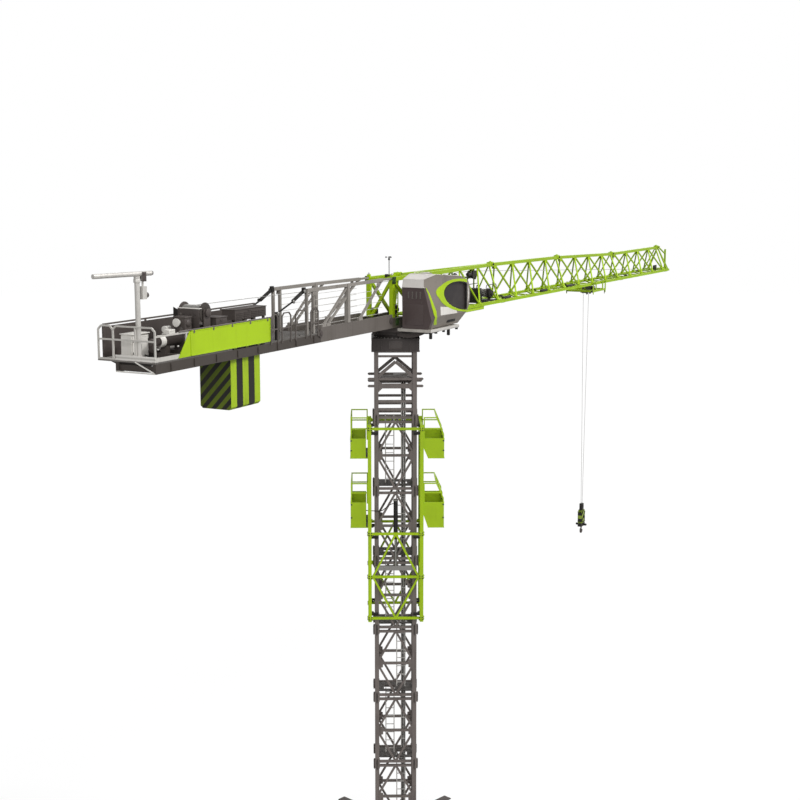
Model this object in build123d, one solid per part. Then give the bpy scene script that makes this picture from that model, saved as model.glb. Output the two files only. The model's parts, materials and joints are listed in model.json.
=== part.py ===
from build123d import *
import os

os.makedirs("parts", exist_ok=True)

# Flat-top tower crane at half its real size, in millimetres.
# +X runs out along the jib, +Z up, the ground is at 0 and the slewing axis is Z.
FIT = 0.3

# Mast
MAST_WIDTH = 900.0
MAST_TURN = -61.0
LEG = 90.0
SECTION_HEIGHT = 1530.0
SECTION_COUNT = 6
MAST_RAIL = 50.0
MAST_BRACE = 42.0
SLEEVE_HEIGHT = 95.0
SLEEVE_SIZE = 116.0
LANDING = 18.0
LANDING_HALF = 260.0
LADDER_X = 120.0
LADDER_HALF = 90.0
LADDER_RUNGS = 8
HATCH = (240.0, 300.0)

# Base frame
BASE_HEIGHT = 420.0
BASE_REACH = 1750.0
BASE_BEAM_WIDTH = 200.0
BASE_FLANGE = 25.0
BASE_WEB = 22.0
BASE_RIBS = (573.0, 1050.0, 1480.0)
ANCHOR_RADIUS = 17.0
ANCHOR_EDGE = 75.0
FOOT_PLATE = 300.0

# Slewing support and turntable
SUPPORT_HEIGHT = 1790.0
SUPPORT_BOX_HEIGHT = 340.0
SUPPORT_BOX_WIDTH = 990.0
SUPPORT_BAR_DROP = 100.0
SUPPORT_APEX_DROP = 215.0
SUPPORT_RAILS = (225.0, 395.0)
COLLAR_RISE = 720.0
COLLAR_HEIGHT = 100.0
PLATFORM_RISE = 150.0
LUG_REACH = 120.0
RING_HEIGHT = 55.0
RING_RADIUS = 440.0
RING_BORE = 300.0
RACE = (380.0, 410.0)
SLEW_GAP = 5.0
TABLE_HEIGHT = 150.0
TABLE_SLAB = 110.0
TABLE_REAR = -620.0
TABLE_FRONT = 640.0
BRACKET_XS = (-450.0, 360.0)
BRACKET_WIDTH = 56.0

# Counter-jib
BEAM_SPAN = 790.0
BEAM_WIDTH = 62.0
BEAM_HEIGHT = 163.0
FRONT_BEAM_HEIGHT = 280.0
COUNTER_REAR = -8684.0
COUNTER_STEP = -3660.0
STEP_SLOPE = 120.0
CROSS_BEAMS = 8
WALKWAY_ARMS = 5
HEAD_REAR = -860.0
DECK_THICKNESS = 26.0
DECK_FRONT = COUNTER_STEP - STEP_SLOPE - 10
RAIL_HEIGHT = 550.0
BANNER_RAIL_HEIGHT = 412.0
RAIL_SIZE = 26.0
RAIL_CORNER = 60.0
KICK_HEIGHT = 70.0
WALKWAY_REACH = 750.0
PARAPET_HEIGHT = 505.0
PANEL = 12.0
BANNER_LOW = (-8100.0, -5430.0, 195.0)
BANNER_HIGH = (-7790.0, -5430.0, 606.0)
HOOPS = ((-5410.0, -5190.0), (-5050.0, -4760.0), (-4600.0, -4230.0), (-4070.0, -3810.0))
HOOP_HEIGHT = 470.0
HOOP_SIZE = 20.0
HOOP_FOOT = 60.0

# Braced trusses over the counter-jib
TRUSS_TOP = 1000.0
TRUSS_REAR = -4150.0
TRUSS_SECOND = -3920.0
TRUSS_MIDDLE = -2650.0
TRUSS_FRONT = -1060.0
TRUSS_FEET = (-3560.0, -3400.0, -2170.0)
TRUSS_POST = 50.0
TRUSS_THICK = 86.0
TRUSS_CHORD = 60.0
TRUSS_BRACE = 36.0
LINK_KNEE = (-4610.0, 830.0)
LINK_FOOT = (-5130.0, 657.0)

# Tower head and jib
HEAD_HALF_WIDTH = 270.0
HEAD_POST_X = -650.0
HEAD_FRONT = 564.0
HEAD_POST = 86.0
HEAD_BEAM = 200.0
HEAD_SILL = 110.0
WIND_X = -270.0
WIND_HEIGHT = 390.0
JIB_SECTION = 4360.0
JIB_COUNT = 4
JIB_BAYS = 4
JIB_HALF_WIDTH = 330.0
JIB_BOTTOM = 130.0
JIB_TOPS = [985.0, 985.0, 945.0, 835.0, 845.0]
JIB_CHORD = 66.0
JIB_TOP_CHORD = 78.0
JIB_BRACE = 34.0
FIRST_TOP_NODE = 200.0
FIRST_LOW_NODE = 830.0
LAST_TOP_NODE = 120.0
TIP_LENGTH = 950.0
TIP_POST_TOP = 750.0

# Pinned joints between the jib's sections
PIN_RADIUS = 16.0
PIN_CLEARANCE = 0.05
TONGUE_HALF = 14.7
JOINT_END = 45.0
JOINT_NOSE = 32.0
JOINT_BACK = 100.0
FORK_HALF = 45.0
TOP_FORK_BACK = 170.0
TOP_FORK_HIGH = 66.0

# Counterweights
SLAB_COUNT = 5
SLAB_PITCH = 180.0
SLAB_GAP = 4.0
SLAB_FRONT = -5654.0
SLAB_WIDTH = 640.0
SLAB_BOTTOM = -881.0
SLAB_TOP = 150.0
SLAB_CORNER = 45.0
SLAB_HANGER = 40.0

# Climbing cage
CAGE_CLEARANCE = 51.0
CAGE_POST = 76.0
CAGE_RAIL = 50.0
CAGE_BRACE = 40.0
CAGE_LEVELS = (-2165.0, -4431.0, -5375.0, -6290.0)
CAGE_OVERRUN = 85.0
PLATFORM_UPPER = -2800.0
PLATFORM_LOWER = -4300.0
UPPER_PANEL = 430.0
UPPER_RAILS = (640.0, 870.0)
LOWER_PANEL = 555.0
LOWER_RAILS = (760.0, 960.0)
PLATFORM_FLOOR = 20.0
PLATFORM_RAIL = 24.0
LEFT_REACH = 360.0
RIGHT_REACH = 430.0
RIGHT_LEAN = 145.0
RIGHT_SPLAY = 95.0
KNEE_RISE = 90.0
PANEL_START = 40.0

# Climbing cylinder
YOKE_DROP = 145.0
YOKE_HEIGHT = 100.0
RAM_TOP = -3700.0
RAM_LENGTH = 860.0
RAM_RADIUS = 46.0
RAM_WALL = 30.0
RAM_ROD = 26.0
RAM_OFFSET = 50.0

# Trolley and hook
TROLLEY_X = 11550.0
TROLLEY_LENGTH = 1050.0
TROLLEY_DROP = 150.0
TROLLEY_BEAM = 50.0
RUNWAY = 8.0
RUNWAY_WIDTH = 24.0
WHEEL_RADIUS = 34.0
HANGER = 14.0
SHEAVE_RADIUS = 85.0
SHEAVE_X = 125.0
CHEEK_MARGIN = 60.0
ROPE_RADIUS = 5.0
HOOK_TOP = -6293.0
TONGUE_HEIGHT = 190.0
CHEEK_HEIGHT = 380.0
CROSSHEAD_HEIGHT = 100.0
SHANK_RADIUS = 18.0
HOOK_BEND = 62.0

# Hoist winch, cabinets and davit
DRUM_X = -7100.0
DRUM_RISE = 835.0
DRUM_RADIUS = 110.0
DRUM_FLANGE = 158.0
DRUM_LENGTH = 430.0
DRUM_SHAFT = 22.0
BEARING_PLATE = 20.0
WINCH_REAR = -8050.0
WINCH_FRONT = -6600.0
WINCH_HALF = 300.0
MOTOR_RADIUS = 80.0
RESISTOR_LOW = (-5900.0, 20.0, 590.0)
RESISTOR_HIGH = (-4920.0, 300.0, 760.0)
CABINET = ((-8500.0, 200.0), (-8100.0, 420.0))
CABINET_HEIGHT = 385.0
DAVIT_X = -8600.0
DAVIT_Y = -10.0
DAVIT_RADIUS = 42.0
DAVIT_HEIGHT = 1290.0
DAVIT_TURN = -13.0
DAVIT_REAR = -840.0
DAVIT_FRONT = 285.0
DAVIT_HOIST = 110.0

# Operator's cab
CAB_NEAR = -1200.0
CAB_FAR = -500.0
CAB_WALL = 40.0
CAB_REAR = -640.0
CAB_RAISE = 60.0
WINDOW_CENTRE = (750.0, 585.0)
WINDOW_RADII = (870.0, 295.0)
WINDOW_TILT = -8.0
WINDOW_FRONT = 1000.0
FLOOR_FEET = (-600.0, 230.0)

# Trolley winch and platform inside the jib's first section
TROLLEY_DRUM_X = 4440.0
TROLLEY_DRUM_RISE = 340.0
TROLLEY_DRUM_RADIUS = 90.0
TROLLEY_SHAFT = 16.0
PULLEY_X = 3800.0
PULLEY_RADIUS = 80.0
PLATFORM_X = (1250.0, 3720.0)
PLATFORM_SIDE = 75.0
WINCH_BED_HALF = 240.0

# Levels and places that follow from the sizes above
MAST_TOP = BASE_HEIGHT + SECTION_COUNT * SECTION_HEIGHT
RING_TOP = MAST_TOP + SUPPORT_HEIGHT
TABLE_BOTTOM = RING_TOP + SLEW_GAP
BEAM_Z = RING_TOP + RING_HEIGHT + TABLE_HEIGHT
DECK_Z = BEAM_Z + BEAM_HEIGHT + DECK_THICKNESS
BEAM_TOP = BEAM_Z + BEAM_HEIGHT
CHORD_Z = BEAM_Z + JIB_BOTTOM
CHORD_LOW = CHORD_Z - JIB_CHORD / 2
LEG_CENTRE = MAST_WIDTH / 2 - LEG / 2
CAGE_C = LEG_CENTRE + SLEEVE_SIZE / 2 + CAGE_CLEARANCE + CAGE_POST / 2
CAGE_FACE = CAGE_C + CAGE_POST / 2
BEAM_Y = BEAM_SPAN / 2 - BEAM_WIDTH / 2
HEAD_POST_FRONT = HEAD_FRONT - JOINT_END - HEAD_POST / 2
JIB_END = HEAD_FRONT + JIB_COUNT * JIB_SECTION
DRUM_Z = BEAM_Z + DRUM_RISE
TROLLEY_DRUM_Z = BEAM_Z + TROLLEY_DRUM_RISE
SHEAVE_Z = CHORD_LOW - TROLLEY_DROP - TROLLEY_BEAM / 2
DAVIT_TOP = DECK_Z + DAVIT_HEIGHT


def bar(start, end, width, depth=None):
    """A straight rectangular bar between two points."""
    line = Vector(*end) - Vector(*start)
    side = Vector(0, 0, 1).cross(line)
    if side.length < 1e-3:
        side = Vector(1, 0, 0)
    plane = Plane(origin=Vector(*start), x_dir=side, z_dir=line)
    return extrude(plane * Rectangle(width, depth or width), line.length)


def chain(points, size):
    """Bars from point to point."""
    return [bar(a, b, size) for a, b in zip(points, points[1:])]


def rod(start, end, radius):
    """A straight round bar between two points."""
    line = Vector(*end) - Vector(*start)
    plane = Plane(origin=Vector(*start), z_dir=line)
    return extrude(plane * Circle(radius), line.length)


def block(a, b):
    """A box between two opposite corners."""
    size = [abs(b[i] - a[i]) for i in range(3)]
    middle = [(b[i] + a[i]) / 2 for i in range(3)]
    return Pos(*middle) * Box(*size)


def upright(x, y, low, high, radius):
    """A round piece that stands on the level low."""
    return Pos(x, y, (low + high) / 2) * Cylinder(radius, high - low)


def across(x, y, z, radius, length):
    """A round piece that lies across the crane, with its middle at the point."""
    return Pos(x, y, z) * Rot(90, 0, 0) * Cylinder(radius, length)


def fuse(pieces):
    """One solid from pieces that run into each other."""
    return pieces[0] + pieces[1:]


def group(pieces):
    """Several solids that share one file."""
    return Compound(children=pieces)


def on_mast(shape):
    """Turns a shape from the mast's own axes into the crane's."""
    return Rot(0, 0, MAST_TURN) * shape


def save(name, shape):
    """Writes one sub-part."""
    export_step(shape, f"parts/{name}.step")


# Base frame: two crossed beams under the mast's four corners
def base_frame():
    height = BASE_HEIGHT - BASE_FLANGE
    half = BASE_BEAM_WIDTH / 2
    pieces = []
    for turn in (45, 135):
        spin = Rot(0, 0, turn)
        for low, high, width in (
            (0, BASE_FLANGE, BASE_BEAM_WIDTH),
            (BASE_FLANGE, height - BASE_FLANGE, BASE_WEB),
            (height - BASE_FLANGE, height, BASE_BEAM_WIDTH),
        ):
            pieces.append(spin * block((-BASE_REACH, -width / 2, low), (BASE_REACH, width / 2, high)))
        for side in (-1, 1):
            inner = side * (BASE_REACH - FOOT_PLATE)
            outer = side * (BASE_REACH + 2 * ANCHOR_EDGE)
            foot = block((inner, -FOOT_PLATE / 2, 0), (outer, FOOT_PLATE / 2, BASE_FLANGE))
            hole = Pos(side * (BASE_REACH + ANCHOR_EDGE), 0, 0) * Cylinder(ANCHOR_RADIUS, 4 * BASE_FLANGE)
            pieces.append(spin * (foot - hole))
            for at in BASE_RIBS:
                x = side * at
                pieces.append(spin * block((x, -half, BASE_FLANGE), (x + BASE_WEB, half, height - BASE_FLANGE)))
    for x in (-LEG_CENTRE, LEG_CENTRE):
        for y in (-LEG_CENTRE, LEG_CENTRE):
            low = (x - SLEEVE_SIZE, y - SLEEVE_SIZE, height)
            pieces.append(block(low, (x + SLEEVE_SIZE, y + SLEEVE_SIZE, BASE_HEIGHT)))
    return on_mast(fuse(pieces))


# One mast section: four legs with their joint sleeves, and a diamond of bracing on each side
def mast_section():
    pieces = []
    half = SECTION_HEIGHT / 2
    c = LEG_CENTRE
    for x in (-c, c):
        for y in (-c, c):
            pieces.append(bar((x, y, 0), (x, y, SECTION_HEIGHT), LEG))
            for z in (0, SECTION_HEIGHT - SLEEVE_HEIGHT):
                pieces.append(bar((x, y, z), (x, y, z + SLEEVE_HEIGHT), SLEEVE_SIZE))
    rails = (SLEEVE_HEIGHT / 2, half, SECTION_HEIGHT - SLEEVE_HEIGHT / 2)
    for turn in range(4):
        side = Rot(0, 0, 90 * turn)
        for z in rails:
            pieces.append(side * bar((-c, c, z), (c, c, z), MAST_RAIL))
        for x in (-c, c):
            for z in (rails[0], rails[2]):
                pieces.append(side * bar((0, c, z), (x, c, half), MAST_BRACE))
    return fuse(pieces)


def mast_sections():
    section = mast_section()
    for n in range(SECTION_COUNT):
        lift = Pos(0, 0, BASE_HEIGHT + n * SECTION_HEIGHT)
        save(f"mast_section_{n + 1}", on_mast(lift * section))


# Slewing support: the fixed tower part under the box of the slewing ring
def slewing_support():
    c = LEG_CENTRE
    box_bottom = RING_TOP - SUPPORT_BOX_HEIGHT
    collar = MAST_TOP + COLLAR_RISE
    platform_low = collar + PLATFORM_RISE
    platform_top = platform_low + MAST_RAIL / 2
    pieces = []
    for x in (-c, c):
        for y in (-c, c):
            pieces.append(bar((x, y, MAST_TOP), (x, y, box_bottom), LEG))
            pieces.append(bar((x, y, MAST_TOP), (x, y, MAST_TOP + SLEEVE_HEIGHT), SLEEVE_SIZE))
    levels = [(MAST_TOP + SLEEVE_HEIGHT / 2, MAST_RAIL), (collar, COLLAR_HEIGHT)]
    levels += [(MAST_TOP + rise, MAST_RAIL) for rise in SUPPORT_RAILS]
    levels += [(box_bottom - SUPPORT_BAR_DROP, MAST_BRACE), (platform_low, MAST_RAIL)]
    knee = LEG + MAST_RAIL
    for turn in range(4):
        side = Rot(0, 0, 90 * turn)
        for z, size in levels:
            pieces.append(side * bar((-c, c, z), (c, c, z), MAST_RAIL, size))
        for x in (-1, 1):
            apex = (0, c, box_bottom - SUPPORT_APEX_DROP)
            pieces.append(side * bar(apex, (x * c, c, platform_top), LEG * 0.7))
            pieces.append(side * bar((x * c, c, collar - knee), (x * (c - knee), c, collar), MAST_RAIL))
            pieces.append(side * bar((x * c, c, collar + knee), (x * (c - knee), c, collar), MAST_RAIL))
    floor = block((-c, -c, platform_low), (c, c, platform_top))
    pieces.append(floor - Pos(-c / 2, c / 2, platform_low) * Box(c * 0.8, c * 0.8, 4 * MAST_RAIL))
    for x in (-1, 1):
        for y in (-c, c):
            reach = x * (MAST_WIDTH / 2 + LUG_REACH)
            for z in (collar, platform_low):
                pieces.append(bar((x * c, y, z), (reach, y, z), MAST_RAIL))
    return on_mast(fuse(pieces))


# The box on top of the support, with the slewing ring and the shaft that the ladder goes through
def slewing_ring_box():
    h = SUPPORT_BOX_WIDTH / 2
    housing = block((-h, -h, RING_TOP - SUPPORT_BOX_HEIGHT), (h, h, RING_TOP - RING_HEIGHT))
    housing += upright(0, 0, RING_TOP - RING_HEIGHT, RING_TOP, RING_RADIUS)
    housing -= Pos(0, 0, RING_TOP) * Cylinder(RING_BORE, 3 * SUPPORT_BOX_HEIGHT)
    race = Pos(0, 0, RING_TOP) * (Cylinder(RACE[1], 2 * (SLEW_GAP - FIT)) - Cylinder(RACE[0], 3 * SLEW_GAP))
    return on_mast(housing + race)


def landing_top(n):
    """The upper face of the landing near the foot of a section."""
    return BASE_HEIGHT + n * SECTION_HEIGHT + SLEEVE_HEIGHT / 2 + MAST_RAIL / 2 + LANDING


def ladder_x(n):
    """The ladders stand on the left and the right by turns."""
    return -LADDER_X if n % 2 else LADDER_X


# Ladders inside the mast, one run for each section, and the landings that carry them
def mast_ladders():
    pieces = []
    for n in range(SECTION_COUNT):
        low = landing_top(n)
        high = low + SECTION_HEIGHT - 2 * LANDING
        x = ladder_x(n)
        rails = [bar((x + s * LADDER_HALF, 0, low), (x + s * LADDER_HALF, 0, high), 22) for s in (-1, 1)]
        for k in range(LADDER_RUNGS):
            z = low + (k + 0.5) * (high - low) / LADDER_RUNGS
            rails.append(bar((x - LADDER_HALF, 0, z), (x + LADDER_HALF, 0, z), 14))
        pieces.append(on_mast(fuse(rails)))
    return group(pieces)


def mast_landings():
    pieces = []
    reach = LEG_CENTRE + MAST_RAIL / 2 - 10
    for n in range(SECTION_COUNT):
        z = landing_top(n)
        floor = block((-reach, -LANDING_HALF, z - LANDING), (reach, LANDING_HALF, z))
        floor -= Pos(-ladder_x(n) * 1.1, 0, z) * Box(*HATCH, 4 * MAST_RAIL)
        for end in (-reach, reach):
            floor -= Pos(end, 0, z) * Box(2 * MAST_RAIL, HATCH[1] / 2, 4 * MAST_RAIL)
        pieces.append(on_mast(floor))
    return group(pieces)


# Climbing cage
def cage_side(side):
    top, middle, low, bottom = [BEAM_Z + z for z in CAGE_LEVELS]
    x = side * CAGE_C
    pieces = []
    for y in (-CAGE_C, CAGE_C):
        pieces.append(bar((x, y, bottom - CAGE_POST), (x, y, top + CAGE_OVERRUN), CAGE_POST))
    for z in (top, middle, low, bottom):
        pieces.append(bar((x, -CAGE_C, z), (x, CAGE_C, z), CAGE_RAIL))
    for y in (-CAGE_C, CAGE_C):
        pieces.append(bar((x, 0, middle), (x, y, low), CAGE_BRACE))
        pieces.append(bar((x, y, low), (x, 0, bottom), CAGE_BRACE))
    return on_mast(fuse(pieces))


def cage_face(side):
    top, middle, low, bottom = [BEAM_Z + z for z in CAGE_LEVELS]
    y = side * CAGE_C
    reach = CAGE_C - CAGE_POST / 2
    pieces = []
    for z in (top, middle, low, bottom):
        pieces.append(bar((-reach, y, z), (reach, y, z), CAGE_RAIL))
    for x in (-1, 1):
        end = x * (reach - CAGE_RAIL / 2)
        pieces.append(bar((0, y, middle), (end, y, low), CAGE_BRACE))
        pieces.append(bar((end, y, low), (0, y, bottom), CAGE_BRACE))
    return on_mast(fuse(pieces))


# A working platform on the side of the cage, on the right with a splayed foot and rails that lean in
def platform(side, level, panel, rails, reach, lean=0.0, splay=0.0):
    low = BEAM_Z + level
    inner = CAGE_FACE
    outer = inner + reach
    d = CAGE_C
    size = PLATFORM_RAIL
    post = outer - size / 2
    high = low + rails[-1]
    knee = low + panel
    start = inner if splay else inner + PANEL_START
    end_panel = [(start, knee), (outer, knee), (outer, low), (start + splay, low)]
    if splay:
        end_panel.append((start, low + panel / 2))
    bend = knee + (KNEE_RISE if lean else 0)
    face = Plane.XZ * make_face(Polyline(*[(side * x, z) for x, z in end_panel], close=True))
    pieces = [Pos(0, y + PANEL / 2, 0) * extrude(face, PANEL / 2, both=True) for y in (-d, d - PANEL)]
    pieces.append(block((side * (inner + splay), -d, low), (side * outer, d, low + PLATFORM_FLOOR)))
    pieces.append(block((side * (outer - PANEL), -d, low), (side * outer, d, knee)))
    if splay:
        foot = (side * (inner + splay), 0, low + PLATFORM_FLOOR / 2)
        pieces.append(bar(foot, (side * (inner + PANEL), 0, low + panel / 2), 2 * d, PANEL))
    for y in (-d + size / 2, 0, d - size / 2):
        pieces += chain([(side * post, y, low), (side * post, y, bend), (side * (post - lean), y, high)], size)
        if y:
            pieces.append(bar((side * (inner + size / 2), y, knee - size), (side * (inner + size / 2), y, high), size))
    for rise in rails:
        x = post - lean * max(0, low + rise - bend) / (high - bend)
        z = low + rise
        pieces.append(bar((side * x, -d, z), (side * x, d, z), size))
        for y in (-d + size / 2, d - size / 2):
            pieces.append(bar((side * inner, y, z), (side * x, y, z), size))
    return on_mast(fuse(pieces))


# Climbing cylinder: the barrel rides with the cage, the rod stands on its yoke
def ram_barrel():
    top = BEAM_Z + RAM_TOP
    bottom = top - RAM_LENGTH
    face = -CAGE_C + CAGE_RAIL / 2
    y = face + RAM_OFFSET
    barrel = upright(0, y, bottom, top, RAM_RADIUS)
    barrel -= upright(0, y, bottom - 1, top - RAM_WALL, RAM_ROD + PIN_CLEARANCE)
    lug = block((-RAM_OFFSET, face + FIT, bottom + RAM_OFFSET), (RAM_OFFSET, y - RAM_WALL, bottom + 3 * RAM_OFFSET))
    return on_mast(barrel + lug)


def ram_rod():
    y = -CAGE_C + CAGE_RAIL / 2 + RAM_OFFSET
    top = BEAM_Z + RAM_TOP - 2 * RAM_OFFSET
    yoke = BASE_HEIGHT + 4 * SECTION_HEIGHT - YOKE_DROP
    reach = LEG_CENTRE + RAM_WALL
    shaft = upright(0, y, yoke, top, RAM_ROD)
    low = (-reach, y - RAM_ROD, yoke - YOKE_HEIGHT / 2)
    cross = block(low, (reach, y + RAM_ROD - 6, yoke + YOKE_HEIGHT / 2))
    return on_mast(shaft + cross)


# Turntable, with the two arched brackets that carry the cab
def cab_bracket(x):
    side = -BEAM_SPAN / 2
    low = TABLE_BOTTOM
    root = side + 90
    tip = BEAM_Z - CAB_RAISE - FIT - 20.6
    lower = ThreePointArc((root, low), (side - 270, low - 15), (CAB_NEAR + 200, tip))
    upper = ThreePointArc((CAB_NEAR + 400, tip), (side - 160, low + 67), (root, low + 65))
    ends = [Line(lower @ 1, upper @ 0), Line(upper @ 1, lower @ 0)]
    face = Plane.YZ.offset(x) * make_face([lower, ends[0], upper, ends[1]])
    half = BRACKET_WIDTH / 2
    stem = block((x - half, side, low), (x + half, root, BEAM_Z - TABLE_SLAB / 2))
    return extrude(face, half, both=True) + stem


def turntable():
    table = block((TABLE_REAR, -BEAM_SPAN / 2, BEAM_Z - TABLE_SLAB), (TABLE_FRONT, BEAM_SPAN / 2, BEAM_Z))
    table += upright(0, 0, TABLE_BOTTOM, BEAM_Z - TABLE_SLAB, RING_RADIUS)
    table -= Pos(0, 0, BEAM_Z) * Cylinder(RING_BORE, 4 * TABLE_HEIGHT)
    return table + [cab_bracket(x) for x in BRACKET_XS]


# Fork with its pin at the outer end of a chord, and the tongue that the next section brings
def fork(x, y, z, chord, back, high, pin_length):
    pieces = [across(x, y, z, PIN_RADIUS, pin_length)]
    for side in (-1, 1):
        low = (x - back, y + side * (TONGUE_HALF + FIT), z - FORK_HALF)
        pieces.append(block(low, (x + JOINT_NOSE, y + side * chord / 2, z + high)))
    return fuse(pieces)


def tongue(x, y, z):
    high = FORK_HALF - 6
    plate = block((x - JOINT_NOSE, y - TONGUE_HALF, z - high), (x + JOINT_BACK, y + TONGUE_HALF, z + high))
    return plate - across(x, y, z, PIN_RADIUS + PIN_CLEARANCE, FORK_HALF)


def low_fork(x, y):
    return fork(x, y, CHORD_Z, JIB_CHORD, JOINT_BACK, FORK_HALF, JIB_CHORD)


def top_fork(x, y, z):
    return fork(x, y, z, JIB_TOP_CHORD, TOP_FORK_BACK, TOP_FORK_HIGH, JIB_TOP_CHORD + 14)


def top_half_width(x):
    """Half the spread of the two top chords, which meet at the first jib joint."""
    joint = HEAD_FRONT + JIB_SECTION
    return HEAD_HALF_WIDTH * (joint - x) / (joint - HEAD_POST_X)


# Tower head: two long beams, four posts and the first stretch of the top chords
def tower_head():
    low = BEAM_Z
    top = BEAM_Z + JIB_TOPS[0]
    front = HEAD_POST_FRONT
    half = BEAM_SPAN / 2
    spread = top_half_width(front)
    pieces = []
    for side in (-1, 1):
        inner = side * (half - BEAM_WIDTH)
        pieces.append(block((HEAD_REAR, inner, low), (front, side * half, low + HEAD_BEAM)))
        yr = side * HEAD_HALF_WIDTH
        yf = side * spread
        pieces.append(bar((HEAD_POST_X, yr, low), (HEAD_POST_X, yr, top), HEAD_POST))
        pieces.append(bar((front, side * JIB_HALF_WIDTH, low), (front, side * JIB_HALF_WIDTH, CHORD_Z), HEAD_POST))
        pieces.append(bar((front, side * JIB_HALF_WIDTH, CHORD_Z), (front, yf, top), HEAD_POST))
        pieces.append(bar((HEAD_POST_X - HEAD_POST / 2, yr, top), (front, yf, top), JIB_TOP_CHORD))
        pieces.append(bar((HEAD_POST_X, yr, top), (front, side * JIB_HALF_WIDTH, CHORD_Z), TRUSS_CHORD))
        pieces.append(bar((HEAD_POST_X, yr, top), (HEAD_POST_X, yr, top + HEAD_POST), TRUSS_CHORD))
        pieces.append(low_fork(HEAD_FRONT, side * JIB_HALF_WIDTH))
        joint_y = side * top_half_width(HEAD_FRONT)
        pieces.append(top_fork(HEAD_FRONT, joint_y, top))
    for x, spread_here in ((HEAD_POST_X, HEAD_HALF_WIDTH), (front, spread)):
        reach = HEAD_POST / 2
        pieces.append(block((x - reach, -half + 10, low), (x + reach, half - 10, low + HEAD_SILL)))
        pieces.append(bar((x, -spread_here, top), (x, spread_here, top), MAST_RAIL))
    wind_half = top_half_width(WIND_X)
    pieces.append(bar((WIND_X, -wind_half, top), (WIND_X, wind_half, top), MAST_RAIL))
    cross = HEAD_HALF_WIDTH
    pieces.append(bar((HEAD_POST_X, -cross, top), (HEAD_POST_X, cross, low + HEAD_SILL), TRUSS_CHORD))
    return fuse(pieces)


# One jib section with its bays of bracing: a pinned fork at its outer end, tongues at its inner end
def jib_section(n):
    x0 = HEAD_FRONT + n * JIB_SECTION
    x1 = x0 + JIB_SECTION
    t0 = BEAM_Z + JIB_TOPS[n]
    t1 = BEAM_Z + JIB_TOPS[n + 1]
    bay = JIB_SECTION / JIB_BAYS
    half = JIB_HALF_WIDTH

    def top_point(x, side):
        y = side * top_half_width(x) if n == 0 else 0.0
        return (x, y, t0 + (t1 - t0) * (x - x0) / JIB_SECTION)

    low_nodes = [x0 + FIRST_LOW_NODE + k * bay for k in range(JIB_BAYS)]
    top_nodes = [x0 + FIRST_TOP_NODE + k * bay for k in range(JIB_BAYS)] + [x1 - LAST_TOP_NODE]
    start, end = x0 + JOINT_END, x1 - JOINT_END
    pieces = []
    for side in (-1, 1):
        y = side * half
        pieces.append(bar((start, y, CHORD_Z), (end, y, CHORD_Z), JIB_CHORD))
        edge = side * (half + JIB_CHORD / 2)
        runway_end = (x1 + JOINT_NOSE, edge + side * RUNWAY_WIDTH, CHORD_LOW + RUNWAY)
        pieces.append(block((start, edge - side * RUNWAY, CHORD_LOW), runway_end))
        pieces += [tongue(x0, y, CHORD_Z), low_fork(x1, y)]
        for k, low in enumerate(low_nodes):
            for x in (top_nodes[k], top_nodes[k + 1]):
                pieces.append(bar(top_point(x, side), (low, y, CHORD_Z), JIB_BRACE))
    for side in (-1, 1) if n == 0 else (1,):
        pieces.append(bar(top_point(start, side), top_point(end, side), JIB_TOP_CHORD))
        pieces.append(tongue(*top_point(x0, side)))
    pieces.append(top_fork(*top_point(x1, 0)))
    if n == 0:
        for x in top_nodes[:-2]:
            pieces.append(bar(top_point(x, -1), top_point(x, 1), JIB_BRACE))
        pieces += rope_pulley()
    inset = JOINT_END + JIB_BRACE
    for x in [x0 + inset] + low_nodes + [x1 - inset - JIB_BRACE]:
        pieces.append(bar((x, -half, CHORD_Z), (x, half, CHORD_Z), JIB_BRACE))
    for a, b in zip([x0 + inset] + low_nodes, low_nodes):
        pieces.append(bar((a, -half, CHORD_Z), (b, half, CHORD_Z), JIB_BRACE))
    return fuse(pieces)


def pulley_z():
    """The axle of the pulley that turns the hoist rope down into the jib."""
    return BEAM_Z + JIB_TOPS[0] - JIB_TOP_CHORD / 2 - 1.7 * PULLEY_RADIUS


def rope_pulley():
    top = BEAM_Z + JIB_TOPS[0]
    z = pulley_z()
    pieces = [across(PULLEY_X, 0, z, PULLEY_RADIUS, 28)]
    pieces.append(across(PULLEY_X, 0, z, PIN_RADIUS, 80))
    for side in (-1, 1):
        y = side * (TONGUE_HALF + 10)
        pieces.append(block((PULLEY_X - 45, y - 6, z - 30), (PULLEY_X + 45, y + 6, top)))
    return pieces


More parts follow.
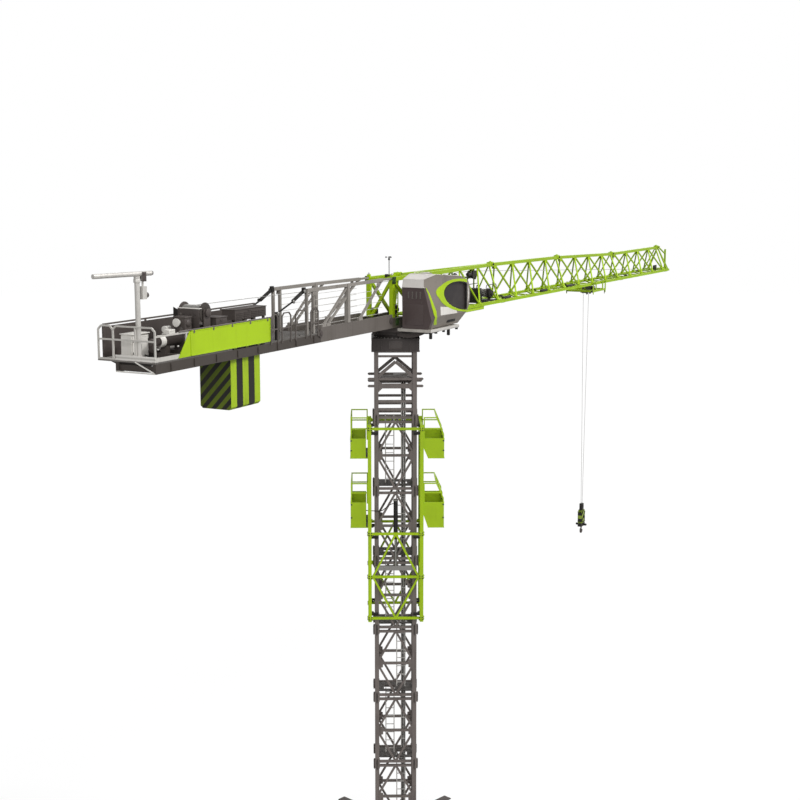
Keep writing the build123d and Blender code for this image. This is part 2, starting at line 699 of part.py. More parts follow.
def jib_tip():
    x0 = JIB_END
    end = x0 + TIP_LENGTH
    top = BEAM_Z + JIB_TOPS[-1]
    half = JIB_HALF_WIDTH
    peak = (x0 + LAST_TOP_NODE, 0, top)
    pieces = [tongue(x0, 0, top), bar((x0 + JOINT_END, 0, top), (x0 + 2 * LAST_TOP_NODE, 0, top), JIB_TOP_CHORD)]
    for side in (-1, 1):
        y = side * half
        pieces.append(tongue(x0, y, CHORD_Z))
        pieces.append(bar((x0 + JOINT_END, y, CHORD_Z), (x0 + TIP_LENGTH * 0.3, y, CHORD_Z), JIB_CHORD))
        pieces.append(bar((x0 + TIP_LENGTH * 0.27, y, CHORD_Z), (end, side * JIB_BRACE, CHORD_Z), MAST_RAIL))
        pieces.append(bar(peak, (x0 + TIP_LENGTH * 0.28, y, CHORD_Z), JIB_BRACE))
        pieces.append(bar(peak, (x0 + LAST_TOP_NODE, y, CHORD_Z), JIB_BRACE))
    for x in (x0 + LAST_TOP_NODE, x0 + TIP_LENGTH * 0.27):
        pieces.append(bar((x, -half, CHORD_Z), (x, half, CHORD_Z), MAST_RAIL))
    pieces.append(bar((end, 0, CHORD_LOW), (end, 0, BEAM_Z + TIP_POST_TOP), MAST_RAIL))
    pieces.append(bar((end, 0, BEAM_Z + TIP_POST_TOP * 0.8), (x0 + 2 * LAST_TOP_NODE, 0, top), JIB_BRACE))
    pieces.append(block((end - MAST_RAIL, -2 * JIB_BRACE, CHORD_LOW), (end, 2 * JIB_BRACE, CHORD_Z + JIB_BRACE)))
    return fuse(pieces)


# Counter-jib
def counter_jib_frame():
    high = BEAM_Z + FRONT_BEAM_HEIGHT
    outline = [(COUNTER_REAR, BEAM_Z), (HEAD_REAR, BEAM_Z), (HEAD_REAR, high), (COUNTER_STEP, high)]
    outline += [(COUNTER_STEP - STEP_SLOPE, BEAM_TOP), (COUNTER_REAR, BEAM_TOP)]
    pieces = []
    for side in (-1, 1):
        face = Plane.XZ * make_face(Polyline(*outline, close=True))
        pieces.append(Pos(0, side * BEAM_Y, 0) * extrude(face, BEAM_WIDTH / 2, both=True))
    half = BEAM_WIDTH / 2
    slab_rear = SLAB_FRONT - SLAB_COUNT * SLAB_PITCH
    first = COUNTER_REAR + BEAM_WIDTH
    pitch = (HEAD_REAR - BEAM_WIDTH * 4 - first) / (CROSS_BEAMS - 1)
    for k in range(CROSS_BEAMS):
        x = first + k * pitch
        if not slab_rear - BEAM_WIDTH < x < SLAB_FRONT + BEAM_WIDTH:
            pieces.append(block((x - half, -BEAM_Y, BEAM_Z + 20), (x + half, BEAM_Y, BEAM_Z + 120)))
    arm_end = DECK_FRONT - 400
    arm_pitch = (arm_end - first) / WALKWAY_ARMS
    for k in range(1, WALKWAY_ARMS + 1):
        x = first + k * arm_pitch
        pieces.append(block((x - 25, BEAM_Y, BEAM_TOP - 85), (x + 25, WALKWAY_REACH, BEAM_TOP)))
    return fuse(pieces)


def counter_jib_deck():
    half = BEAM_SPAN / 2
    slab_rear = SLAB_FRONT - SLAB_COUNT * SLAB_PITCH
    pieces = [
        block((COUNTER_REAR, -half, BEAM_TOP), (slab_rear - 40, half, DECK_Z)),
        block((SLAB_FRONT + 40, -half, BEAM_TOP), (DECK_FRONT, half, DECK_Z)),
        block((COUNTER_REAR, half, BEAM_TOP), (DECK_FRONT - 400, WALKWAY_REACH, DECK_Z)),
    ]
    inner = half - BEAM_WIDTH - FIT
    floor_z = BEAM_Z + 120
    front = block((COUNTER_STEP - STEP_SLOPE, -inner, floor_z), (HEAD_REAR - FIT, inner, floor_z + DECK_THICKNESS))
    return group([fuse(pieces), front])


def counter_truss(side):
    deck = BEAM_Z + FRONT_BEAM_HEIGHT
    top = BEAM_Z + TRUSS_TOP
    y0 = side * BEAM_Y
    y1 = side * (HEAD_HALF_WIDTH - 10)
    foot = deck + 30
    knee = top - 200

    def chord_point(x):
        share = (x - TRUSS_MIDDLE) / (TRUSS_FRONT - TRUSS_MIDDLE)
        return (x, y0 + share * (y1 - y0), top)

    head_end = (HEAD_POST_X - HEAD_POST / 2 - 10 * FIT, side * HEAD_HALF_WIDTH, top)
    upper = (TRUSS_MIDDLE + 300, y0 + (y1 - y0) * 0.19, top)
    pieces = [
        bar((TRUSS_REAR, y0, top), (TRUSS_MIDDLE, y0, top), TRUSS_CHORD),
        bar((TRUSS_MIDDLE, y0, top), (TRUSS_FRONT, y1, top), TRUSS_CHORD),
        bar((TRUSS_REAR, y0, DECK_Z), (TRUSS_REAR, y0, top), TRUSS_POST),
        bar((TRUSS_SECOND, y0, DECK_Z), (TRUSS_SECOND, y0, top), TRUSS_POST),
        bar((TRUSS_MIDDLE, y0, deck), (TRUSS_MIDDLE, y0, top + TRUSS_POST / 2), TRUSS_THICK),
        bar((TRUSS_MIDDLE, y0, top - 20), (TRUSS_FEET[0], y0, foot), TRUSS_BRACE),
        bar((TRUSS_MIDDLE, y0, knee), (TRUSS_FEET[1], y0, foot), TRUSS_BRACE),
        bar(chord_point(upper[0]), (TRUSS_MIDDLE, y0, knee), TRUSS_BRACE),
        bar((TRUSS_FRONT, y1, top), (TRUSS_FEET[2], y0, foot), TRUSS_BRACE + 4),
        bar((TRUSS_FRONT, y1, top), head_end, TRUSS_BRACE + 4),
    ]
    for x in TRUSS_FEET:
        pieces.append(block((x - 70, y0 - 28, deck), (x + 70, y0 + 28, deck + 50)))
    return fuse(pieces)


def pendant_links():
    rear = TRUSS_REAR - TRUSS_POST / 2
    top = BEAM_Z + TRUSS_TOP
    knee_x, foot_x = LINK_KNEE[0], LINK_FOOT[0]
    knee_z, foot_z = BEAM_Z + LINK_KNEE[1], BEAM_Z + LINK_FOOT[1]
    pieces = []
    for side in (-1, 1):
        y = side * (BEAM_Y - 18)
        link = [
            bar((rear - 60, y, top - 10), (knee_x, y, knee_z), 30, 60),
            bar((knee_x + 20, y, knee_z), (foot_x, y, foot_z), 20, 26),
            block((rear - 80, y - 22, top - 50), (rear, y + 22, top + 60)),
            block((foot_x - 40, y - 22, DECK_Z), (foot_x + 40, y + 22, foot_z + 30)),
        ]
        pieces.append(fuse(link))
    return group(pieces)


def counterweight(n):
    x1 = SLAB_FRONT - n * SLAB_PITCH
    x0 = x1 - SLAB_PITCH + SLAB_GAP
    half = SLAB_WIDTH / 2
    low = BEAM_Z + SLAB_BOTTOM
    top = BEAM_Z + SLAB_TOP
    cut = SLAB_CORNER
    outline = [(-half + cut, low), (half - cut, low), (half, low + cut), (half, top - cut)]
    outline += [(half - cut, top), (-half + cut, top), (-half, top - cut), (-half, low + cut)]
    face = Plane.YZ.offset(x0) * make_face(Polyline(*outline, close=True))
    slab = extrude(face, x1 - x0)
    inset = (x1 - x0) / 2 - SLAB_HANGER
    slab += block((x0 + inset, -SLAB_HANGER, top - cut), (x1 - inset, SLAB_HANGER, BEAM_TOP + SLAB_HANGER))
    bearing = BEAM_SPAN / 2 - RAIL_SIZE - 4
    slab += block((x0 + inset, -bearing, BEAM_TOP), (x1 - inset, bearing, BEAM_TOP + SLAB_HANGER))
    return slab


def hoop(start, end, height, size, levels):
    """A rail frame on two posts, with its upper corners cut across and rails between."""
    a, b = Vector(*start), Vector(*end)
    along = (b - a).normalized() * RAIL_CORNER
    up = Vector(0, 0, height)
    drop = Vector(0, 0, RAIL_CORNER)
    points = [a, a + up - drop, a + up + along, b + up - along, b + up - drop, b]
    pieces = chain([tuple(point) for point in points], size)
    for level in levels:
        rise = Vector(0, 0, level)
        pieces.append(bar(tuple(a + rise), tuple(b + rise), size))
    return pieces


def rear_railing():
    half = BEAM_SPAN / 2 - RAIL_SIZE / 2
    x = COUNTER_REAR + RAIL_SIZE / 2
    reach = WALKWAY_REACH - RAIL_SIZE / 2
    height = RAIL_HEIGHT - RAIL_SIZE / 2
    ys = (-half, reach * 0.6, reach)
    pieces = []
    for a, b in zip(ys, ys[1:]):
        pieces += hoop((x, a, DECK_Z), (x, b, DECK_Z), height, RAIL_SIZE, (RAIL_SIZE / 2, height * 0.6))
    pieces.append(bar((x, 0, DECK_Z), (x, 0, DECK_Z + height), RAIL_SIZE))
    banner_height = BANNER_RAIL_HEIGHT - RAIL_SIZE / 2
    pitch = (BANNER_LOW[1] - x) / 4
    posts = [x + k * pitch for k in range(1, 4)] + [BANNER_LOW[1] - RAIL_SIZE]
    for post in posts:
        pieces.append(bar((post, -half, DECK_Z), (post, -half, DECK_Z + banner_height), RAIL_SIZE))
    for level in (RAIL_SIZE / 2, banner_height):
        pieces.append(bar((x, -half, DECK_Z + level), (posts[-1], -half, DECK_Z + level), RAIL_SIZE))
    kick = block((COUNTER_REAR, -half, DECK_Z), (COUNTER_REAR + PANEL, half, DECK_Z + KICK_HEIGHT))
    side_kick = block((COUNTER_REAR, -half, DECK_Z), (posts[0], -half - PANEL, DECK_Z + KICK_HEIGHT))
    return fuse(pieces + [kick, side_kick])


# Railings beside the deck: the long run on the far side and four frames on the near side
def walkway_railing():
    y = WALKWAY_REACH - RAIL_SIZE / 2
    size = RAIL_SIZE
    height = RAIL_HEIGHT - size / 2
    first = COUNTER_REAR + 5 * size
    pitch = (DECK_FRONT - 400 - size - first) / 4
    far = []
    for k in range(5):
        x = first + k * pitch
        far.append(bar((x, y, DECK_Z), (x, y, DECK_Z + height), size))
    for level in (height / 2, height):
        far.append(bar((first, y, DECK_Z + level), (first + 4 * pitch, y, DECK_Z + level), size))
    near_y = -BEAM_SPAN / 2 - HOOP_SIZE / 2
    low = DECK_Z - HOOP_FOOT
    height = HOOP_HEIGHT + HOOP_FOOT
    frames = [fuse(far)]
    for start, end in HOOPS:
        frames.append(fuse(hoop((start, near_y, low), (end, near_y, low), height, HOOP_SIZE, (height / 2,))))
    return group(frames)


def banner_panel():
    outline = [(BANNER_LOW[0], BANNER_LOW[2]), (BANNER_LOW[1], BANNER_LOW[2])]
    outline += [(BANNER_HIGH[1], BANNER_HIGH[2]), (BANNER_HIGH[0], BANNER_HIGH[2])]
    outline = [(x, BEAM_Z + z) for x, z in outline]
    face = Plane.XZ * make_face(Polyline(*outline, close=True))
    return Pos(0, -BEAM_SPAN / 2, 0) * extrude(face, PANEL)


def far_parapet():
    y = WALKWAY_REACH - RAIL_SIZE
    start = COUNTER_REAR + 4 * RAIL_SIZE
    return block((start, y - PANEL, DECK_Z), (DECK_FRONT - 800, y, DECK_Z + PARAPET_HEIGHT))


# Hoist winch
def hoist_drum():
    pieces = [across(DRUM_X, 0, DRUM_Z, DRUM_RADIUS, DRUM_LENGTH)]
    for side in (-1, 1):
        pieces.append(across(DRUM_X, side * DRUM_LENGTH / 2, DRUM_Z, DRUM_FLANGE, 14))
    pieces.append(across(DRUM_X, 0, DRUM_Z, DRUM_SHAFT, DRUM_LENGTH + 90))
    return fuse(pieces)


def hoist_winch():
    base_top = DECK_Z + 60
    pieces = []
    for side in (-1, 1):
        y = side * (WINCH_HALF - 40)
        pieces.append(block((WINCH_REAR, y - 40, DECK_Z), (WINCH_FRONT, y + 40, base_top)))
    for x in (WINCH_REAR + 60, DRUM_X - 400, DRUM_X, WINCH_FRONT - 60):
        pieces.append(block((x - 50, -WINCH_HALF, DECK_Z), (x + 50, WINCH_HALF, base_top)))
    for side in (-1, 1):
        y = side * (DRUM_LENGTH / 2 + 30)
        half = BEARING_PLATE / 2
        plate = block((DRUM_X - 90, y - half, DECK_Z), (DRUM_X + 90, y + half, DRUM_Z + 60))
        pieces.append(plate - across(DRUM_X, y, DRUM_Z, DRUM_SHAFT + PIN_CLEARANCE, 60))
    front = DRUM_X + DRUM_FLANGE + 30
    pieces.append(block((front, -WINCH_HALF, DECK_Z), (WINCH_FRONT, -20, DECK_Z + 540)))
    pieces.append(block((front, 30, DECK_Z), (WINCH_FRONT, WINCH_HALF - 20, DECK_Z + 400)))
    gear = DRUM_X - 400
    motor_z = DECK_Z + 260
    pieces.append(block((gear - 90, -160, DECK_Z), (gear + 90, 60, DECK_Z + 600)))
    pieces.append(rod((gear, -50, motor_z), (WINCH_REAR - 120, -50, motor_z), MOTOR_RADIUS))
    pieces.append(block((WINCH_REAR + 20, -110, DECK_Z), (WINCH_REAR + 120, 10, motor_z)))
    low, high = RESISTOR_LOW, RESISTOR_HIGH
    box = block((low[0], low[1], BEAM_Z + low[2]), (high[0], high[1], BEAM_Z + high[2]))
    for x in (SLAB_FRONT + 80, high[0] - 60):
        for y in (low[1] + 20, high[1] - 20):
            box += bar((x, y, DECK_Z), (x, y, BEAM_Z + high[2] - 40), 40)
    return group([fuse(pieces), box])


def electrical_cabinet():
    (x0, y0), (x1, y1) = CABINET
    return block((x0, y0, DECK_Z), (x1, y1, DECK_Z + CABINET_HEIGHT))


def davit_post():
    post = upright(DAVIT_X, DAVIT_Y, DECK_Z, DAVIT_TOP, DAVIT_RADIUS)
    return post + block((DAVIT_X - 50, DAVIT_Y - 70, DECK_Z), (DAVIT_X + 80, DAVIT_Y + 70, DECK_Z + 16))


def davit_arm():
    low = DAVIT_TOP + FIT
    z = low + 75
    arm = upright(0, 0, low, low + 40, DAVIT_RADIUS + 8)
    arm += rod((DAVIT_REAR, 0, z), (DAVIT_FRONT, 0, z), 38)
    x = DAVIT_HOIST
    arm += block((x - 12, -12, z - 220), (x + 12, 12, z))
    arm += block((x - 42, -50, z - 400), (x + 42, 50, z - 200))
    return Pos(DAVIT_X, DAVIT_Y, 0) * Rot(0, 0, DAVIT_TURN) * arm


# Operator's cab
def half_space(origin, along, normal, depth=0.0):
    """All that lies beyond a plane, which can be moved inwards by a depth."""
    plane = Plane(origin=Vector(*origin), x_dir=Vector(*along), z_dir=Vector(*normal))
    return extrude(plane.offset(-depth) * Rectangle(9000, 9000), 2000)


def cab_outline():
    low = Polyline((CAB_REAR, 830), (CAB_REAR + 20, -20), (760, 0), (1000, 240))
    front = ThreePointArc((1000, 240), (1160, 560), (1050, 900))
    roof = Polyline((1050, 900), (700, 1005), (-300, 1090), (CAB_REAR + 40, 1000), (CAB_REAR, 830))
    return make_face([*low.edges(), front, *roof.edges()])


def cab_block(outline, near, far):
    """The outline between two planes across the crane."""
    return extrude(Plane.XZ.offset(-far) * outline, far - near)


def cab_cuts(depth=0.0):
    """What the slanted rear corner and the chamfer under the side take away."""
    corner = half_space((CAB_REAR, CAB_NEAR, 0), (517, -265, 0), (-2915, -5687, 1370), depth)
    chamfer = half_space((0, CAB_NEAR, 230), (1, 0, 0), (0, -250, -110), depth)
    return [corner, chamfer]


def window_shape(margin=0.0):
    """The cab's side window: the rear part of a slanted ellipse."""
    ellipse = Pos(*WINDOW_CENTRE) * Rot(0, 0, WINDOW_TILT) * Ellipse(WINDOW_RADII[0] + margin, WINDOW_RADII[1] + margin)
    return ellipse & (Pos(WINDOW_FRONT / 2 - 500, 560) * Rectangle(WINDOW_FRONT + 1000 + margin, 900))


def front_window(margin):
    half = (CAB_FAR - CAB_NEAR) / 2 - 1.5 * CAB_WALL + margin
    middle = (CAB_FAR + CAB_NEAR) / 2
    return block((880, middle - half, 300 - margin), (1300, middle + half, 850 + margin))


def cab_body():
    shell = cab_block(cab_outline(), CAB_NEAR, CAB_FAR)
    for cut in cab_cuts():
        shell -= cut
    inside = offset(cab_outline(), -CAB_WALL, kind=Kind.INTERSECTION)
    cavity = cab_block(inside, CAB_NEAR + CAB_WALL, CAB_FAR - CAB_WALL)
    for cut in cab_cuts(CAB_WALL):
        cavity -= cut
    shell -= cavity
    shell -= cab_block(window_shape(), CAB_NEAR - CAB_WALL, CAB_NEAR + CAB_WALL + 1)
    shell -= front_window(0)
    return Pos(0, 0, BEAM_Z) * shell


def cab_glass():
    pane_y = CAB_NEAR + CAB_WALL
    outer = offset(cab_outline(), -CAB_WALL, kind=Kind.INTERSECTION)
    side = cab_block(window_shape(20) & outer, pane_y, pane_y + 10)
    inner = offset(cab_outline(), -CAB_WALL - 10, kind=Kind.INTERSECTION)
    strip = cab_block(outer - inner, CAB_NEAR + CAB_WALL + 12, CAB_FAR - CAB_WALL - 1)
    front = strip & front_window(18)
    return Pos(0, 0, BEAM_Z) * group([side, front])


def cab_floor_frame():
    top = BEAM_Z - 20 - FIT
    low = top - CAB_RAISE
    near = CAB_NEAR + 30
    far = -BEAM_SPAN / 2 - FIT
    rear, front = CAB_REAR, CAB_REAR + 1320
    pieces = []
    for x in (rear, BRACKET_XS[0] - 40, BRACKET_XS[1] - 40, front - 80):
        pieces.append(block((x, near, low), (x + 80, far, top)))
    pieces.append(block((rear, near, low), (front, near + CAB_RAISE, top)))
    for x in FLOOR_FEET:
        pieces.append(bar((x, near + CAB_RAISE / 2, low - 90), (x, near + CAB_RAISE / 2, low), 50))
    return fuse(pieces)


# Jib fittings
def root_platform():
    top = CHORD_LOW - FIT
    x0, x1 = PLATFORM_X
    half = JIB_HALF_WIDTH + JIB_CHORD / 2
    inner = half - JIB_CHORD
    tray = block((x0, -half, top - PLATFORM_SIDE), (x1, half, top))
    x0, x1 = x0 + JIB_CHORD, x1 - JIB_CHORD
    return tray - block((x0, -inner, top - PLATFORM_SIDE + PANEL), (x1, inner, top + PANEL))


def trolley_winch():
    z = CHORD_Z + JIB_BRACE / 2
    x = TROLLEY_DRUM_X
    half = WINCH_BED_HALF
    rear = PLATFORM_X[1] + 40
    front = HEAD_FRONT + JIB_SECTION - 2 * JOINT_BACK
    pieces = []
    for side in (-1, 1):
        pieces.append(block((rear, side * half, z), (front, side * (half - 60), z + 30)))
        y = side * 170
        plate = block((x - 70, y - 8, z), (x + 70, y + 8, TROLLEY_DRUM_Z + 50))
        pieces.append(plate - across(x, y, TROLLEY_DRUM_Z, TROLLEY_SHAFT + PIN_CLEARANCE, 40))
    for at in (rear + 60, x - 70, x + 70, front - 60):
        pieces.append(block((at - 40, -half, z), (at + 40, half, z + 30)))
    pieces.append(block((rear + 20, 50 - half, z), (rear + 170, half - 90, z + 330)))
    motor_z = z + 150
    pieces.append(rod((rear + 100, 0, motor_z), (x - TROLLEY_DRUM_RADIUS - 60, 0, motor_z), 70))
    pieces.append(block((x - TROLLEY_DRUM_RADIUS - 160, -60, z), (x - TROLLEY_DRUM_RADIUS - 60, 60, motor_z)))
    return fuse(pieces)


def trolley_drum():
    pieces = [across(TROLLEY_DRUM_X, 0, TROLLEY_DRUM_Z, TROLLEY_DRUM_RADIUS, 280)]
    for side in (-1, 1):
        pieces.append(across(TROLLEY_DRUM_X, side * 140, TROLLEY_DRUM_Z, TROLLEY_DRUM_RADIUS + 25, 10))
    pieces.append(across(TROLLEY_DRUM_X, 0, TROLLEY_DRUM_Z, TROLLEY_SHAFT, 370))
    return fuse(pieces)


def trolley():
    x = TROLLEY_X
    half = TROLLEY_LENGTH / 2
    high = CHORD_LOW - TROLLEY_DROP
    low = high - TROLLEY_BEAM
    inner = JIB_HALF_WIDTH + JIB_CHORD / 2 + RUNWAY_WIDTH + 3
    outer = inner + HANGER
    wheel_z = CHORD_LOW + RUNWAY + WHEEL_RADIUS + FIT
    cheek = SHEAVE_X + SHEAVE_RADIUS + CHEEK_MARGIN
    pieces = []
    for side in (-1, 1):
        pieces.append(block((x - half, side * (inner - TROLLEY_BEAM / 2), low), (x + half, side * outer, high)))
        for at in (-half + 35, -cheek, cheek, half - 35):
            pieces.append(block((x + at - 35, side * inner, low), (x + at + 35, side * outer, wheel_z + WHEEL_RADIUS)))
            wheel_y = side * (inner - RUNWAY_WIDTH / 2 + 2)
            if abs(at) > cheek:
                pieces.append(across(x + at, wheel_y, wheel_z, WHEEL_RADIUS, RUNWAY_WIDTH + 4))
                pieces.append(block((x + at - 20, side * inner, low - 60), (x + at + 20, side * outer, low)))
        pieces.append(block((x - cheek, side * 60 - 7, low - 40), (x + cheek, side * 60 + 7, high + 60)))
        pieces.append(across(x + side * SHEAVE_X, 0, SHEAVE_Z, SHEAVE_RADIUS, 126))
    for at in (-half + 35, -cheek, cheek, half - 35):
        pieces.append(block((x + at - 30, -inner, low), (x + at + 30, inner, high)))
    return fuse(pieces)


def rope_falls():
    bottom = BEAM_Z + HOOK_TOP + FIT
    reach = SHEAVE_X + SHEAVE_RADIUS + ROPE_RADIUS + FIT
    pieces = []
    for side in (-1, 1):
        top = (TROLLEY_X + side * reach, 0, SHEAVE_Z)
        pieces.append(rod((TROLLEY_X + side * 45, 0, bottom), top, ROPE_RADIUS))
    return group(pieces)


def hook_block():
    top = BEAM_Z + HOOK_TOP
    x = TROLLEY_X
    cheek_top = top - TONGUE_HEIGHT
    cheek_low = cheek_top - CHEEK_HEIGHT
    low = cheek_low - CROSSHEAD_HEIGHT
    pieces = [block((x - 65, -40, cheek_top - 60), (x + 65, 40, top))]
    for side in (-1, 1):
        pieces.append(block((x - 112, side * 34, cheek_low), (x + 112, side * 58, cheek_top)))
    pieces.append(block((x - 140, -58, low), (x + 140, 58, cheek_low)))
    pieces.append(across(x, 0, (cheek_top + cheek_low) / 2, SHEAVE_RADIUS + 15, 70))
    body = fuse(pieces)
    return body - Pos(x, 0, low) * Cylinder(SHANK_RADIUS + PIN_CLEARANCE, 3 * CROSSHEAD_HEIGHT)


def hook():
    low = BEAM_Z + HOOK_TOP - TONGUE_HEIGHT - CHEEK_HEIGHT - CROSSHEAD_HEIGHT
    x = TROLLEY_X
    centre = low - 2.1 * HOOK_BEND
    shank = upright(x, 0, centre + HOOK_BEND - 8, low + CROSSHEAD_HEIGHT + 24, SHANK_RADIUS)
    collar = upright(x, 0, low - 24, low - FIT, SHANK_RADIUS + 14)
    bend = Plane.XZ * CenterArc((0, 0), HOOK_BEND, 90, 280)
    section = Plane(bend @ 0, z_dir=bend % 0) * RegularPolygon(SHANK_RADIUS + 4, 8)
    return shank + collar + Pos(x, 0, centre) * sweep(section, bend)


def hoist_rope():
    z = pulley_z() + PULLEY_RADIUS + ROPE_RADIUS + FIT
    turn = (PULLEY_X, 0, z)
    tip = (JIB_END + LAST_TOP_NODE - MAST_RAIL / 2 - FIT, 0, CHORD_Z + MAST_RAIL / 2 - ROPE_RADIUS)
    start = (DRUM_X, 0, DRUM_Z + DRUM_RADIUS + ROPE_RADIUS + FIT)
    path = Polyline(start, turn, tip)
    section = Plane(path @ 0, z_dir=path % 0) * Circle(ROPE_RADIUS)
    return sweep(section, path, transition=Transition.RIGHT)


def wind_post():
    z = BEAM_Z + JIB_TOPS[0] + MAST_RAIL / 2
    return upright(WIND_X, 0, z, z + WIND_HEIGHT, 8)


def wind_cups():
    z = BEAM_Z + JIB_TOPS[0] + MAST_RAIL / 2 + WIND_HEIGHT + FIT
    hub = upright(WIND_X, 0, z, z + 30, 12)
    for turn in (0, 120, 240):
        arm = Pos(30, 0, 15) * Box(60, 6, 6) + Pos(64, 0, 15) * Rot(90, 0, 0) * Cone(16, 6, 22)
        hub += Pos(WIND_X, 0, z) * Rot(0, 0, turn) * arm
    return hub


save("base_frame", base_frame())
mast_sections()
save("slewing_support", slewing_support())
save("slewing_ring_box", slewing_ring_box())
save("mast_ladders", mast_ladders())
save("mast_landings", mast_landings())
save("climb_ram_rod", ram_rod())
save("cage_side_left", cage_side(-1))
save("cage_side_right", cage_side(1))
save("cage_face_front", cage_face(-1))
save("cage_face_back", cage_face(1))
upper = (PLATFORM_UPPER, UPPER_PANEL, UPPER_RAILS)
lower = (PLATFORM_LOWER, LOWER_PANEL, LOWER_RAILS)
save("platform_upper_left", platform(-1, *upper, LEFT_REACH))
save("platform_upper_right", platform(1, *upper, RIGHT_REACH, RIGHT_LEAN, RIGHT_SPLAY))
save("platform_lower_left", platform(-1, *lower, LEFT_REACH))
save("platform_lower_right", platform(1, *lower, RIGHT_REACH, RIGHT_LEAN, RIGHT_SPLAY))
save("climb_ram_barrel", ram_barrel())
save("turntable", turntable())
save("tower_head", tower_head())
save("counter_jib_frame", counter_jib_frame())
save("counter_jib_deck", counter_jib_deck())
save("counter_truss_near", counter_truss(-1))
save("counter_truss_far", counter_truss(1))
save("pendant_links", pendant_links())
for number in range(SLAB_COUNT):
    save(f"counterweight_{number + 1}", counterweight(number))
save("rear_railing", rear_railing())
save("walkway_railing", walkway_railing())
save("banner_panel", banner_panel())
save("far_parapet", far_parapet())
save("hoist_winch", hoist_winch())
save("hoist_drum", hoist_drum())
save("electrical_cabinet", electrical_cabinet())
save("davit_post", davit_post())
save("davit_arm", davit_arm())
save("cab_body", cab_body())
save("cab_glass", cab_glass())
save("cab_floor_frame", cab_floor_frame())
for number in range(JIB_COUNT):
    save(f"jib_section_{number + 1}", jib_section(number))
save("jib_tip", jib_tip())
save("root_platform", root_platform())
save("trolley_winch", trolley_winch())
save("trolley_drum", trolley_drum())
save("trolley", trolley())
save("rope_falls", rope_falls())
save("hook_block", hook_block())
save("hook", hook())
save("hoist_rope", hoist_rope())
save("wind_post", wind_post())
save("wind_cups", wind_cups())
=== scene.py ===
"""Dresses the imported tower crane: finishes, fittings, camera and soft studio light. Metres, Z up."""

import json
import logging
import math
from dataclasses import dataclass
from enum import Enum
from itertools import product
from typing import Callable, ClassVar, Iterable, Sequence

import bpy
from mathutils import Matrix, Vector

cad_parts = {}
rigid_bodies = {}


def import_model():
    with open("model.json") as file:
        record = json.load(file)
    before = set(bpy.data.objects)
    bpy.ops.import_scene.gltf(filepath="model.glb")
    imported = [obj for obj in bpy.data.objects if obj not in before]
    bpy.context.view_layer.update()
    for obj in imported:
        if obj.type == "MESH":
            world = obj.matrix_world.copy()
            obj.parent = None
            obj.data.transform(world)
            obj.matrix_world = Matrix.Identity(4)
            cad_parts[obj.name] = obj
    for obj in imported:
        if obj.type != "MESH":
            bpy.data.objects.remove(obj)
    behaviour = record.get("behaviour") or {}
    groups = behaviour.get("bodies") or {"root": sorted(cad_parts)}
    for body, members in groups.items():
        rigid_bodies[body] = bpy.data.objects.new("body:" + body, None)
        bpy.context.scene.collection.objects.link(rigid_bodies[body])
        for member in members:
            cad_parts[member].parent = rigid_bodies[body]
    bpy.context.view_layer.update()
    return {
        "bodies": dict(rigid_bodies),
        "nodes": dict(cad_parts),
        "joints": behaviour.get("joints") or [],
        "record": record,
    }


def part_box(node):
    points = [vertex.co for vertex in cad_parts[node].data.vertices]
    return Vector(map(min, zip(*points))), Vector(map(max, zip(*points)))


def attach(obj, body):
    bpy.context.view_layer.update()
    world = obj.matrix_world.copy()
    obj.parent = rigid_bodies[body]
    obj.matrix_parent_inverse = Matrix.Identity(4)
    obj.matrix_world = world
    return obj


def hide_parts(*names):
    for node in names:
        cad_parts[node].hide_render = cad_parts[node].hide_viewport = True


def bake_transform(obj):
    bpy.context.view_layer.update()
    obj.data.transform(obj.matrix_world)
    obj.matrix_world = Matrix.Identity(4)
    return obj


LOG = logging.getLogger("crane")
Point = Sequence[float]
Object = bpy.types.Object
Socket = bpy.types.NodeSocket

BEAM_Z = 11.595
MAST_FOOT = 0.42
SECTION = 1.53
SECTIONS = 6
MAST_TOP = MAST_FOOT + SECTIONS * SECTION
RING_TOP = MAST_TOP + 1.79
LEG_CENTRE = 0.405
LEG_HALF = 0.045
SLEEVE_HALF = 0.058
CAGE_CENTRE = 0.552

# Heights above the beams, and places along them from the slewing axis, which the pieces are measured in
DECK = 0.189
CHORD = 0.13
FASCIA = 0.83
DRUM = 0.835
DRUM_X = -7.1
HOOK_TOP = -6.293
TROLLEY_X = 11.55
HEAD_FRONT = 0.564
JIB_SECTION = 4.36
JIB_TOPS = (0.985, 0.985, 0.945, 0.835, 0.845)
JIB_HALF = 0.33
BAY = JIB_SECTION / 4
CAB_NEAR = -1.2

SIDES = (-1, 1)
ORIGIN = (0, 0, 0)
UP = (0, 0, 1)
ALONG = (1, 0, 0)
BACK = (-1, 0, 0)
NEAR = (0, -1, 0)
FAR = (0, 1, 0)
QUARTERS = [Matrix.Rotation(math.pi / 2 * k, 4, "Z") for k in range(4)]
MAST_AXES = Matrix.Rotation(math.radians(-61), 4, "Z")
BEAM_AXES = Matrix.Translation((0, 0, BEAM_Z))


class Slot(Enum):
    """The record's material slots."""

    LIME = "lime_paint"
    DARK = "dark_paint"
    GREY = "grey_paint"
    BLACK = "black_paint"
    WHITE = "white_paint"
    ZINC = "galvanised"
    STEEL = "steel"
    ROPE = "rope"
    GLASS = "cab_glass"


class Body(Enum):
    """The bodies that pieces ride on."""

    ROOT = "root"
    CAGE = "climbing_cage"
    SLEWING = "slewing_part"
    DRUM = "hoist_drum"
    TROLLEY_DRUM = "trolley_drum"
    DAVIT = "davit_arm"
    TROLLEY = "trolley"
    BLOCK = "hook_block"
    HOOK = "hook"


